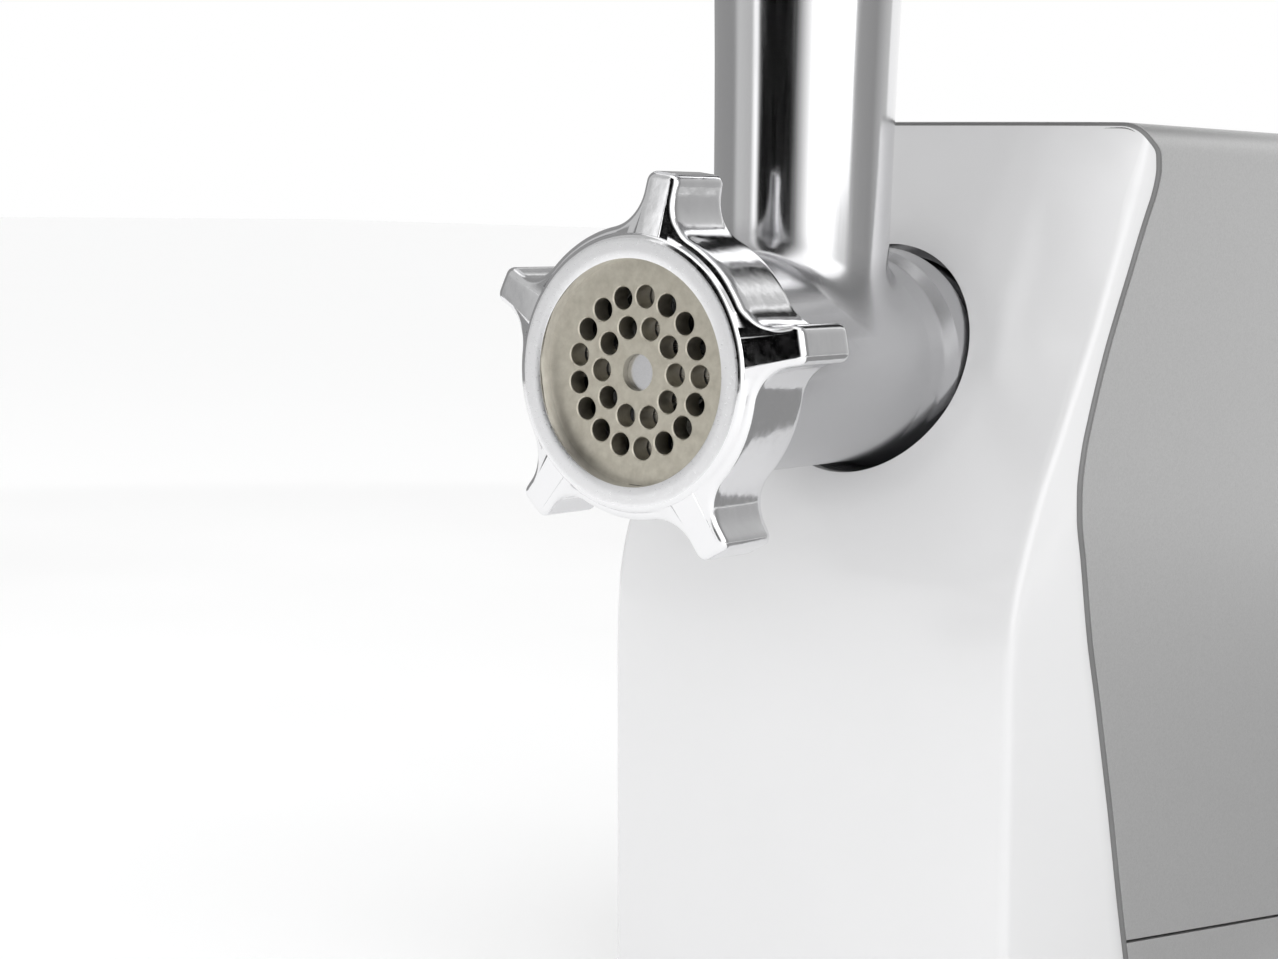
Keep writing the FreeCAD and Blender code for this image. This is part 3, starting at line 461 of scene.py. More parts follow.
def moulded(name, color, low, high, grain=800.0, depth=0.01):
    """Plain moulded plastic or rubber with a spark-eroded texture."""
    look = Look(name, color, (low + high) / 2)
    texture = look.noise(grain, 3.0)
    light = tuple(min(1.0, c * 1.12 + 0.004) for c in color)
    look.tint(look.band(look.noise(60.0, 2.0)), color, light)
    look.rough(texture, low, high)
    look.bump(texture, depth)
    return look.material


def socket_metal():
    """The socket's wall: smooth grey coating that shows the barrel and the light beside it."""
    look = Look("socket_metal", (0.36, 0.36, 0.37), 0.20, 0.45)
    look.rough(look.noise(400.0, 2.0), 0.16, 0.26)
    look.bump(look.noise(900.0, 2.0), 0.004)
    return look.material


def wound_wire(name, color):
    """Varnished windings: close ridges of wire."""
    look = Look(name, color, 0.35, 0.8)
    ridges = look.add("ShaderNodeTexWave", {"Scale": 420.0, "Distortion": 1.5, "Vector": look.place},
                      bands_direction="Z")
    look.rough(ridges.outputs["Fac"], 0.5, 0.25, 0.0, 1.0)
    look.bump(ridges.outputs["Fac"], 0.12)
    return look.material


def board_green():
    """Circuit board: raised tracks under green lacquer."""
    look = Look("circuit_board", (0.03, 0.16, 0.07), 0.35)
    tracks = look.add("ShaderNodeTexVoronoi", {"Scale": 190.0, "Vector": look.place},
                      feature="DISTANCE_TO_EDGE", distance="MANHATTAN")
    edge = look.band(tracks.outputs["Distance"], low=0.04, high=0.06)
    look.tint(edge, (0.07, 0.27, 0.12), (0.03, 0.15, 0.07))
    look.rough(look.noise(300.0), 0.28, 0.42)
    return look.material


MATERIALS = {make.__name__: make() for make in (
    cast_aluminium, polished_cast, blasted_face, plate_steel, tray_steel, white_plastic, silver_paint,
    socket_metal, board_green)}
for name, look in {
        "tool_steel": ((0.55, 0.55, 0.56), 0.24, 0.38),
        "copper": ((0.72, 0.38, 0.20), 0.22, 0.36),
        "bearing_steel": ((0.66, 0.66, 0.67), 0.12, 0.24),
        "zinc_steel": ((0.58, 0.58, 0.55), 0.30, 0.46)}.items():
    MATERIALS[name] = ground_steel(name, *look)
for name, look in {
        "grey_trim": ((0.15, 0.15, 0.15), 0.30, 0.42),
        "black_plastic": ((0.016, 0.016, 0.017), 0.25, 0.42),
        "rubber": ((0.030, 0.030, 0.031), 0.70, 0.88, 500.0, 0.03),
        "nylon": ((0.70, 0.68, 0.60), 0.35, 0.50),
        "gear_nylon": ((0.62, 0.60, 0.50), 0.35, 0.50),
        "gearbox_plastic": ((0.055, 0.056, 0.06), 0.45, 0.62),
        "carbon": ((0.03, 0.03, 0.03), 0.55, 0.75),
        "blue_shell": ((0.03, 0.09, 0.24), 0.30, 0.42)}.items():
    MATERIALS[name] = moulded(name, *look)
for name, color in {"laminated_steel": (0.20, 0.20, 0.21), "enamelled_copper": (0.42, 0.15, 0.05)}.items():
    MATERIALS[name] = wound_wire(name, color)

for entry in RECORD["subparts"]:
    held = frame["nodes"][entry["node"]]
    held.data.materials.clear()
    held.data.materials.append(MATERIALS[entry["material_slot"]])


# ---- head casting
def tube_radius(height):
    """The feed tube's outside, widening gently to its mouth."""
    return smooth_line([0, 28, 84, 98, 104, 110, 118], [20.1, 20.5, 21.6, 22.4, 24.0, 25.3, 25.4])(height)


def blended_gap(points, blend=5.0):
    """Signed distance to barrel and tube together, with a fillet where they meet."""
    x, y, z = points[..., 0], points[..., 1] - TUBE_Y, points[..., 2]
    barrel = np.hypot(x, z) - BARREL_R
    tube = np.hypot(x, y) - tube_radius(z)
    share = np.maximum(blend - np.abs(barrel - tube), 0) / blend
    return np.minimum(barrel, tube) - share * share * blend / 4


def onto_blend(points):
    """Moves points onto the filleted surface along its gradient."""
    for _ in range(8):
        here = blended_gap(points)
        slope = np.zeros_like(points)
        for k in range(3):
            nudge = np.zeros(3)
            nudge[k] = 0.01
            slope[..., k] = (blended_gap(points + nudge) - blended_gap(points - nudge)) / 0.02
        points = points - here[..., None] * slope / np.maximum((slope ** 2).sum(-1), 1e-6)[..., None]
    return points


def make_tube_solid():
    """The feed tube with a skirt that lies on the barrel, closed inside the barrel."""
    steps = 192
    turn = around(steps)
    root = tube_radius(20.0)
    meet = BARREL_R * np.arcsin(np.clip(root * np.cos(turn) / BARREL_R, -1, 1))
    top = BARREL_R * np.cos(meet / BARREL_R)

    def ring(radius, height):
        return np.stack([radius * np.cos(turn), TUBE_Y + radius * np.sin(turn), 0 * turn + height], -1)

    def on_barrel(reach, radius):
        arc = (meet + reach * np.cos(turn)) / BARREL_R
        along = TUBE_Y + (root + reach) * np.sin(turn)
        return np.stack([radius * np.sin(arc), along, radius * np.cos(arc)], -1)

    rows = [ring(*rim) for rim in ((0.0, HEAD_TOP), (24.6, HEAD_TOP), (25.15, 117.8), (25.4, 117.3))]
    for height in (115, 112, 110, 108, 106, 104, 102, 100, 98, 94, 84, 70, 56, 42):
        rows.append(ring(tube_radius(float(height)), height))
    for lift in (12, 9, 7, 6, 5, 4, 3, 2, 1, 0.3):
        rows.append(onto_blend(ring(tube_radius(top + lift), top + lift)))
    for reach in (0.4, 1, 2, 3, 4, 5, 6):
        rows.append(onto_blend(on_barrel(reach, BARREL_R)))
    rows.append(on_barrel(8, BARREL_R - 0.04))
    inner = rows[-1].copy()
    inner[:, 0] *= 0.55
    inner[:, 1] = TUBE_Y + (inner[:, 1] - TUBE_Y) * 0.6
    inner[:, 2] = 4.0
    rows.append(inner)
    rows.append(np.tile([0.0, TUBE_Y, 4.0], (steps, 1)))
    return grid("tube_solid", np.array(rows), wrap_columns=True)


def make_lug(angle):
    """One bayonet lug standing out from the barrel's spigot."""
    corners = ((23.5, 19.0), (23.5, 22.0), (26.6, 22.0), (26.6, 19.0))
    turn = angle + np.linspace(-0.3, 0.3, 13)
    rows = [[(radius * cos(a), y, radius * sin(a)) for a in turn] for radius, y in corners]
    lug = grid("lug", np.array(rows), wrap_rows=True)
    work = bmesh.new()
    work.from_mesh(lug.data)
    bmesh.ops.holes_fill(work, edges=work.edges)
    bmesh.ops.recalc_face_normals(work, faces=work.faces)
    work.to_mesh(lug.data)
    work.free()
    return lug


def make_head_casting():
    """Barrel, feed tube and bayonet spigot in one, with the bore, the throat and the key's notch cut."""
    barrel = lathe("head_casting", [
        (0, -90.6), (THREAD_R, -90.6, 0.6), (THREAD_R, -76.2, 0.8), (27.2, -74.6, 0.6),
        (BARREL_R, -74.6, 0.5), (BARREL_R, -11.0, 8.0), (BARREL_R + 0.45, -5.5, 6.0),
        (BARREL_R + 1.9, -0.9, 0.25), (26.55, -0.3, 0.2), (26.6, 6.5, 0.4), (24.0, 6.5, 0.3),
        (24.0, 23.0, 0.8), (0, 23.0)], steps=256)
    carve(barrel, [make_tube_solid()], "UNION")
    hollow = lathe("hollow", [
        (0, -95.0), (27.3, -95.0), (27.3, -86.4, 0.2), (25.2, -86.4, 0.2), (25.2, -76.4, 0.3),
        (BORE_R, -75.4, 0.4), (BORE_R, 3.0, 1.0), (8.0, 3.0, 0.3), (8.0, 12.0, 0.3), (19.5, 12.0, 1.5),
        (19.5, 30.0), (0, 30.0)], steps=256)
    throat = lathe("throat", [(0, 2.0), (18.0, 2.0), (18.0, 106.0, 0.4), (22.5, 106.0, 0.4), (22.5, 130.0),
                              (0, 130.0)], "Z", (0, TUBE_Y), steps=192)
    carve(barrel, [hollow, throat])
    carve(barrel, [block("notch", (-2, -95, -27.9), (2, -86.0, -20))])
    carve(barrel, [make_lug(radians(120 * k)) for k in range(3)], "UNION")
    dress(barrel, "head_casting")
    polish = barrel.data.attributes.new("polish", "FLOAT", "POINT")
    for vertex, value in zip(barrel.data.vertices, polish.data):
        x, y, z = (np.array(vertex.co) - AXIS) * 1000
        share = min(max((hypot(x, z) - BARREL_R - 1.0) / 9.0, 0.0), 1.0)
        value.value = share * share * (3 - 2 * share) if z > 0 and -60 < y < 0 else 0.0


# ---- ring nut
NUT_FRONT = -95.1
NUT_SEAT = -91.6
NUT_BACK = -74.1
NUT_MOUTH = 24.5
NUT_BORE = 29.3
LOBE_TIP = 43.4
NUT_ROOT = 32.0
LOBE_ANGLES = (83, 11, -61, -133, 155)
FACE_RIM = 28.3


def nut_outline(inset):
    """The nut's outline seen from the front, as (radius, angle) pairs, drawn in by an inset."""
    half, tip_round, flare = 4.25 - inset, max(2.2 - inset, 0.15), 9.0 + inset
    root, tip = NUT_ROOT - inset, LOBE_TIP - inset
    across = half + flare
    up = sqrt((root + flare) ** 2 - across ** 2)
    meet = atan2(across, up)
    half_lobe = [(tip, (half - tip_round) * k / 5) for k in range(5)]
    for k in range(7):
        a = pi / 2 * k / 6
        half_lobe.append((tip - tip_round + tip_round * cos(a),
                          half - tip_round + tip_round * sin(a)))
    for k in range(1, 5):
        half_lobe.append((tip - tip_round + (up - tip + tip_round) * k / 5, half))
    sweep = pi / 2 - meet
    for k in range(17):
        a = sweep * k / 16
        half_lobe.append((up - flare * sin(a), across - flare * cos(a)))
    polar = [(hypot(u, v), atan2(v, u)) for u, v in half_lobe]
    limit = radians(36)
    for k in range(1, 7):
        polar.append((root, meet + (limit - meet) * k / 6))
    mirrored = [(r, -a) for r, a in polar[::-1] if a > 1e-9]
    return mirrored[1:] + polar


def nut_ring(inset, place):
    """One loop of nut points: place gives Y from the radius."""
    loop = []
    for centre in sorted(LOBE_ANGLES):
        for radius, angle in nut_outline(inset):
            a = radians(centre) + angle
            loop.append((radius * cos(a), place(radius), radius * sin(a), a))
    return np.array(loop)


def nut_front(radius):
    """The front: level round the mouth, rolled over at the rim, then sloping back over the lobes."""
    if radius <= FACE_RIM:
        return NUT_FRONT
    roll = min((radius - FACE_RIM) / 1.9, 1.0)
    return NUT_FRONT + 1.5 * (1 - sqrt(1 - roll * roll)) + 0.17 * max(0.0, radius - 30.0)


def rolled(radius, inset):
    """How far an edge of a rounding radius has dropped at an inset from the side."""
    return radius - sqrt(max(radius ** 2 - (radius - inset) ** 2, 0.0))


def make_ring_nut():
    """Five-lobed nut: cast front face, buffed sides, plain bore."""
    outline = nut_ring(0.0, lambda r: 0.0)
    angles = outline[:, 3]

    def circle(radius, y):
        return np.stack([radius * np.cos(angles), 0 * angles + y, radius * np.sin(angles)], -1)

    rows = [circle(radius, y) for radius, y in (
        (NUT_MOUTH, NUT_SEAT), (NUT_MOUTH, -94.6), (24.65, -94.95), (25.0, NUT_FRONT), (26.6, NUT_FRONT))]
    for radius in (28.2, 28.6, 28.95, 29.25, 29.5, 29.7, 29.88, 29.99, 30.06):
        rows.append(circle(radius, nut_front(radius)))
    front = 1.6
    for inset in (1.6, 1.3, 1.0, 0.72, 0.45, 0.22, 0.06, 0.0):
        drop = rolled(front, inset)
        rows.append(nut_ring(inset, lambda r: nut_front(r) + drop)[:, :3])
    first_side = len(rows) - 3
    for y in (-90, -87, -84, -81, -78, -76, -75.0):
        level = outline[:, :3].copy()
        level[:, 1] = np.maximum(y, rows[first_side + 2][:, 1] + 0.3)
        rows.append(level)
    back = 0.9
    for inset in (0.06, 0.25, 0.55, 0.9):
        drop = rolled(back, inset)
        rows.append(nut_ring(inset, lambda r: NUT_BACK - drop)[:, :3])
    rows.append(circle(30.2, NUT_BACK))
    rows.append(circle(29.5, NUT_BACK))
    rows.append(circle(NUT_BORE, NUT_BACK - 0.3))
    rows.append(circle(NUT_BORE, NUT_SEAT))
    nut = grid("ring_nut", np.array(rows), wrap_rows=True, wrap_columns=True)
    dress(nut, "ring_nut", "polished_cast", "blasted_face")
    for face in nut.data.polygons:
        away = hypot(face.center.x - AXIS[0], face.center.z - AXIS[2])
        face.material_index = 1 if face.normal.y < -0.75 and away < 0.0289 else 0


# ---- housing
# Each line gives a place by the height: the front's middle, its side crease (Y, then X), and the wrap's edge.
CENTRE = smooth_line([57.5, 40, 20, 0, -10, -20, -30, -40, -50, -60, -75, -107, -133, -170],
                     [22.1, 15.4, 7.7, 0, -4.2, -9.2, -14.6, -19.6, -23.9, -25.9, -26.5, -25.6, -24.7, -23.7])
CREASE = smooth_line([57.5, 53, 48.8, 44, 39.3, 31.1, 20.7, 10.3, 1.3, -8.8, -16.5, -24.1, -32.9, -41.5,
                      -50.3, -59.2, -72.8, -86.6, -107, -133, -170],
                     [26.4, 26.9, 26.3, 24.6, 21.9, 17.6, 11.7, 6.1, 0.8, -4.8, -8.6, -12.5, -16.4, -19.9,
                      -22.9, -24.5, -24.9, -24.4, -23.8, -22.9, -21.6])
CORNER = smooth_line([57.5, 45, 31, 20, 10, 0, -10, -20, -33, -60, -170],
                     [58.9, 59.5, 59.6, 59.5, 59.2, 58.8, 58.2, 57.5, 56.9, 56.8, 56.8])
WRAP_EDGE = smooth_line([57.5, 53.2, 49.3, 46.5, 44.1, 40, 37, 29.3, 21.4, 13.8, 5.8, -3.3, -11.3, -18,
                         -27.3, -34.3, -43.8, -63.1, -78.1, -93.3, -108.7, -127, -145.5, -170],
                        [28.4, 30.4, 31.4, 31.7, 31.2, 29.4, 27.5, 22.9, 18.5, 14.1, 9.7, 5.4, 2.1, -0.3,
                         -1.8, -1.3, 1.2, 6.0, 11.0, 15.8, 20.6, 25.8, 31.5, 39.1])


def face_depth(x, z):
    """The white front's Y over its flat part, with the shallow dish round the opening."""
    share = np.clip(np.abs(x) / CORNER(z), 0, 1) ** 5
    depth = CENTRE(z) + (CREASE(z) - CENTRE(z)) * share
    away = np.hypot(x, z) - OPENING_R
    dish = np.clip(1 - away / 9.0, 0, 1)
    return depth + 0.9 * dish * dish * (3 - 2 * dish)


def front_columns():
    """Positions across the front, right half: (part, share) with part 0 face, 1 corner, 2 flank."""
    face = [(0, s) for s in np.sin(np.linspace(0, 1, 34) * pi / 2) ** 0.9]
    corner = [(1, s) for s in np.linspace(0, 1, 9)[1:]]
    flank = [(2, s) for s in np.linspace(0, 1, 10)[1:]]
    return face + corner + flank


def plan_point(part, share, z):
    """One point of the housing's plan outline at a height, right half."""
    corner, crease, edge = CORNER(z), CREASE(z), WRAP_EDGE(z) - TRIM_WIDE
    side = HALF_WIDTH - COVER_IN
    soft = 2.4 + 2.6 * np.clip((z + 10) / 50, 0, 1)
    soft = np.minimum(soft, 0.45 * np.hypot(side - corner, edge - crease))
    x0 = corner - soft
    y0 = face_depth(x0, z)
    run = np.hypot(side - corner, edge - crease)
    x1 = corner + (side - corner) * soft / run
    y1 = crease + (edge - crease) * soft / run
    if part == 0:
        x = x0 * share
        return x, face_depth(x, z)
    if part == 1:
        a, b, c = (1 - share) ** 2, 2 * share * (1 - share), share * share
        return a * x0 + b * corner + c * x1, a * y0 + b * crease + c * y1
    return x1 + (side - x1) * share, y1 + (edge - y1) * share


def top_of(x):
    """Height of the housing's rounded outline over a place across it."""
    radius = TOP_ROUND - COVER_IN
    over = np.clip(np.abs(x) - (HALF_WIDTH - TOP_ROUND), 0, radius)
    return HOUSE_TOP - TOP_ROUND + np.sqrt(np.maximum(radius ** 2 - over ** 2, 0))


def front_grid():
    """The white front's outer surface as a grid, bottom row first, left to right."""
    heights = np.concatenate([np.linspace(0, 0.5, 50, endpoint=False),
                              np.linspace(0.5, 0.96, 100, endpoint=False), np.linspace(0.96, 1, 12)])
    half = []
    for part, share in front_columns():
        top = HOUSE_TOP - COVER_IN
        for _ in range(12):
            x, _y = plan_point(part, share, np.array(top))
            top = float(top_of(x))
        z = HOUSE_LOW + (top - HOUSE_LOW) * heights
        x, y = plan_point(part, share, z)
        half.append(np.stack([x + 0 * z, y, z], -1))
    right = np.array(half)
    left = right[1:][::-1].copy()
    left[..., 0] *= -1
    return np.concatenate([left, right]).transpose(1, 0, 2)


def rim_path():
    """The edge shared by the front cover and the wrap, left bottom over the top to right bottom."""
    surface = front_grid()
    left, top, right = surface[:, 0], surface[-1], surface[:, -1]
    return np.concatenate([left, top[1:-1], right[::-1]])


def outline_inward(path):
    """Unit vectors across the housing, pointing inwards, for points on its outline."""
    x, z = path[:, 0], path[:, 2]
    inward = np.zeros_like(path)
    over = np.maximum(np.abs(x) - (HALF_WIDTH - TOP_ROUND), 0)
    rise = np.maximum(z - (HOUSE_TOP - TOP_ROUND), 0)
    length = np.maximum(np.hypot(over, rise), 1e-6)
    inward[:, 0] = -np.sign(x) * over / length
    inward[:, 2] = -rise / length
    return inward


def make_front_cover():
    """White front, a thickened sheet with the round opening cut and its edges rounded."""
    cover = grid("front_cover", front_grid())
    if sum(f.normal.y for f in cover.data.polygons) > 0:
        cover.data.flip_normals()
    thicken(cover, SKIN)
    mouth = lathe("mouth", [(0, -60), (OPENING_R + 0.05, -60), (OPENING_R + 0.05, 60), (0, 60)],
                  steps=256)
    carve(cover, [mouth])
    soften(cover, 0.7)
    dress(cover, "front_cover")


def face_up(piece):
    """Turns a skin's normals outwards, judged by the part along the top."""
    top = [f for f in piece.data.polygons if f.center.z > AXIS[2] + 0.0555]
    if sum(f.normal.z for f in top) < 0:
        piece.data.flip_normals()


def outer_path():
    """The same edge on the housing's full outline, just outside the cover's."""
    path = rim_path()
    path -= COVER_IN * outline_inward(path)
    path[:, 1] += TRIM_WIDE
    return path


def side_sheet(path, back):
    """A skin that runs from an edge path back to a plane, as a grid of rows along Y."""
    rows = []
    start = path[:, 1]
    for share in np.concatenate([[0, 0.004, 0.012, 0.03], np.linspace(0.06, 0.97, 24), [0.99, 1.0]]):
        row = path.copy()
        row[:, 1] = start + (back - start) * share
        rows.append(row)
    return np.array(rows)


def seam_at(y):
    """Height of the seam above the base pan, which falls towards the back."""
    return -141.0 - 17.5 * (y - 29.4) / (155.1 - 29.4)


def beyond_seam(name, gap, far):
    """A block across the housing, from a gap off the seam to a level well past it."""
    side = [(-60, seam_at(-60) + gap), (200, seam_at(200) + gap), (200, far), (-60, far)]
    return build(name, [(x, y, z) for x in (-70, 70) for y, z in side],
                 [(0, 1, 2, 3), (4, 7, 6, 5), (0, 4, 5, 1), (1, 5, 6, 2), (2, 6, 7, 3), (3, 7, 4, 0)])


def make_wrap():
    """One silver shell over the top and both sides, ending on the falling seam."""
    wrap = grid("silver_wrap", side_sheet(outer_path(), WRAP_BACK))
    face_up(wrap)
    thicken(wrap, SKIN)
    lower = beyond_seam("lower", SEAM_GAP / 2, -200)
    button = block("button_way", (-70, 17.3, -8.1), (-50, 25.9, 8.1), 1.6)
    switch = block("switch_way", (-70, 54.4, -61.1), (-50, 85.6, -38.9), 1.0)
    carve(wrap, [lower, button, switch])
    soften(wrap, 0.5)
    dress(wrap, "silver_wrap")


def make_trim():
    """Dark strip in the groove between the front cover and the wrap."""
    path = rim_path()
    inward = outline_inward(path)
    rows = []
    for inset, offset in ((0.55, -0.1), (0.1, 0.02), (-0.35, 0.2), (-0.68, 0.55), (-0.8, 0.95), (-0.8, 1.15)):
        row = path + inset * inward
        row[:, 1] = path[:, 1] + offset
        rows.append(row)
    trim = grid("trim_strip", np.array(rows))
    face_up(trim)
    thicken(trim, 0.8)
    dress(trim, "trim_strip")


def make_base_pan():
    """Silver lower skirt with its floor."""
    path = outer_path()
    sides = []
    for part in (path[:60], path[-60:]):
        side = grid("base_side", side_sheet(part, WRAP_BACK))
        outward = np.sign(part[0, 0])
        if sum(f.normal.x for f in side.data.polygons) * outward < 0:
            side.data.flip_normals()
        thicken(side, SKIN)
        carve(side, [beyond_seam("upper", -SEAM_GAP / 2, 100)])
        soften(side, 0.5, segments=3)
        sides.append(side)

    def floor_outline(inset):
        front, flank = 54.0 - inset, 58.0 - inset
        return soft_path([(-front, -17.5 + inset, 3), (front, -17.5 + inset, 3), (flank, 40, 2),
                          (flank, 152.0 - inset, 1), (-flank, 152.0 - inset, 1), (-flank, 40, 2)], True)

    floor = stack("base_floor", floor_outline, soft_edge(HOUSE_LOW + 0.2, HOUSE_LOW + 3.0, 0.5), lying)
    dress(unite("base_pan", sides + [floor]), "base_pan")


def rear_outline(inset):
    soft = TOP_ROUND - inset
    half, low, high = HALF_WIDTH - inset, HOUSE_LOW + inset, HOUSE_TOP - inset
    corners = [(-half, low, 1.2), (half, low, 1.2), (half, high, soft), (-half, high, soft)]
    return soft_path(corners, True, 5.0)


def make_rear_cover():
    """Back panel with nine vent slots and the cord's bushing."""
    start, end = WRAP_BACK + 0.3, 155.0
    rows = [(0.6, start), (0.0, start + 0.3)] + soft_edge(start + 0.3, end, 1.4, 6)[7:]
    panel = stack("rear_cover", rear_outline, rows, facing)
    slots = []
    for k in range(9):
        low = -30 - 7 * k
        slots.append(stack("slot", box_outline((-32, low), (32, low + 2.6), 1.29),
                           [(0, 145), (0, 152.8), (0, end - 0.6), (-0.5, end + 0.5)], facing))
    gland, _ = node_box("cord_inlet")
    x, z = gland[0] + 8.5, gland[2] + 8.5
    slots.append(lathe("gland_way", [(0, 140), (6.2, 140), (6.2, 170), (0, 170)], "Y", (x, z), 64))
    carve(panel, slots)
    dress(panel, "rear_cover")
    ribs = [(3.7, 147.6, 0.4), (8.4, 147.6, 0.8), (8.4, 150.6, 0.3), (6.0, 150.8), (6.0, 154.9, 0.5),
            (3.7, 154.9, 0.8)]
    dress(lathe("cord_inlet", ribs, "Y", (x, z), 96), "cord_inlet")


def make_socket():
    """Collar, lip and chamber behind the opening that the head turns into."""
    steps = 256
    turn = around(steps)
    front = face_depth(27.9 * np.cos(turn), 27.9 * np.sin(turn)) + 2.75
    section = [(27.5, None), (27.5, 16.2), (27.1, 16.6), (24.6, 16.6), (24.45, 16.8), (24.45, 18.5),
               (24.6, 18.65), (27.3, 18.65), (27.3, 23.9), (33.4, 23.9), (33.4, 16.7), (29.3, 16.7),
               (29.3, None)]
    rows = []
    for radius, place in section:
        along = np.full(steps, place, float)
        if place is None:
            along = np.minimum(front + (0.0 if radius < 28 else 1.2), 16.0)
        rows.append(np.stack([radius * np.cos(turn), along, radius * np.sin(turn)], -1))
    socket = grid("head_socket", np.array(rows), wrap_rows=True, wrap_columns=True)
    dress(socket, "head_socket", "socket_metal")


def make_tray():
    """Pressed pan with a rolled rim, and the neck that drops into the feed tube."""
    low, high = node_box("food_tray")
    base, top = HEAD_TOP, high[2]
    outline = box_outline((low[0], low[1]), (high[0], high[1]), 48.0, 4.0)
    rows = [(60, base + 0.4), (12, base + 0.4), (8.5, base + 0.7), (6.0, base + 2.0), (4.6, base + 4.2),
            (3.6, base + 8.0), (2.9, base + 12.0), (2.4, top - 2.9)]
    for k in range(13):
        a = radians(-60 + 240 * k / 12)
        rows.append((1.55 - 1.5 * cos(a), top - 1.6 + 1.5 * sin(a)))
    rows += [(3.5, top - 3.2), (4.0, base + 12.0), (4.8, base + 8.0), (5.7, base + 4.8), (7.0, base + 2.9),
             (9.2, base + 1.9), (12, base + 1.6), (60, base + 1.6)]
    pan = stack("food_tray", outline, rows, lying)
    carve(pan, [lathe("drop", [(0, base - 9), (20.6, base - 9), (20.6, base + 9), (0, base + 9)],
                      "Z", (0, TUBE_Y), 192)])
    neck = lathe("neck", [(19.3, base - 11.4), (22.1, base - 11.4, 0.6), (22.1, base - 0.2, 0.4),
                          (22.6, base + 0.3, 0.3), (22.6, base + 1.9, 0.3), (20.4, base + 1.9, 1.0),
                          (19.3, base + 0.2, 0.8)], "Z", (0, TUBE_Y), 192)
    dress(unite("food_tray_made", [pan, neck]), "food_tray")


def make_pusher():
    """Plunger with its resting collar, waisted grip and lid."""
    (_, _, foot), (_, _, top) = node_box("pusher")
    rest = HEAD_TOP + 2.0
    body = lathe("pusher_made", [
        (0, foot), (17.2, foot, 0.8), (17.2, rest - 0.6, 0.5), (23.9, rest, 0.8), (23.9, rest + 3.6, 1.4),
        (18.2, rest + 5.6, 4.0), (16.2, rest + 20, 14.0), (19.0, rest + 38, 12.0), (20.9, top, 0.4),
        (19.1, top, 0.3), (17.2, rest + 38, 10.0), (14.2, rest + 20, 10.0), (14.2, foot + 3, 1.5),
        (0, foot + 3)],
        "Z", (0, TUBE_Y), 160)
    dress(body, "pusher")
    _, lid_high = node_box("pusher_cap")
    lid = lathe("pusher_cap_made", [
        (0, top - 3.9), (17.9, top - 3.9, 0.4), (18.5, top + 0.05, 0.3), (20.95, top + 0.05, 0.4),
        (20.6, lid_high[2] - 2.4, 2.0), (14.0, lid_high[2], 6.0), (7.0, lid_high[2] - 0.4, 3.0),
        (0, lid_high[2] - 0.9)], "Z", (0, TUBE_Y), 160)
    dress(lid, "pusher_cap")


def corner_places(low, high, inset):
    """The centres of four like pieces standing in a box's corners."""
    return [(x, y) for x in (low[0] + inset, high[0] - inset) for y in (low[1] + inset, high[1] - inset)]


def make_feet():
    """Rubber feet with a shallow ring in the underside, and the base screws."""
    low, high = node_box("rubber_feet")
    section = [(0, high[2] - 0.05), (8.7, high[2] - 0.05, 0.3), (8.9, low[2] + 1.2, 0.6),
               (7.9, low[2] + 0.02, 0.6), (5.2, low[2] + 0.02, 0.3), (4.6, low[2] + 1.0, 0.3),
               (0, low[2] + 1.0)]
    feet = [lathe("foot", section, "Z", place, 72) for place in corner_places(low, high, 9.0)]
    dress(unite("feet", feet), "rubber_feet")
    low, high = node_box("base_screws")
    section = [(0, low[2]), (2.6, low[2] + 0.05, 0.6), (3.75, low[2] + 1.0, 0.4), (3.75, low[2] + 1.55, 0.1),
               (2.05, low[2] + 1.6), (2.05, high[2], 0.5), (0, high[2])]
    screws = []
    for x, y in corner_places(low, high, 3.8):
        cross = [block("slot", (x - a, y - b, low[2] - 1), (x + a, y + b, low[2] + 0.9))
                 for a, b in ((2.1, 0.4), (0.4, 2.1))]
        screws.append(carve(lathe("screw", section, "Z", (x, y), 48), cross))
    dress(unite("screws", screws), "base_screws")


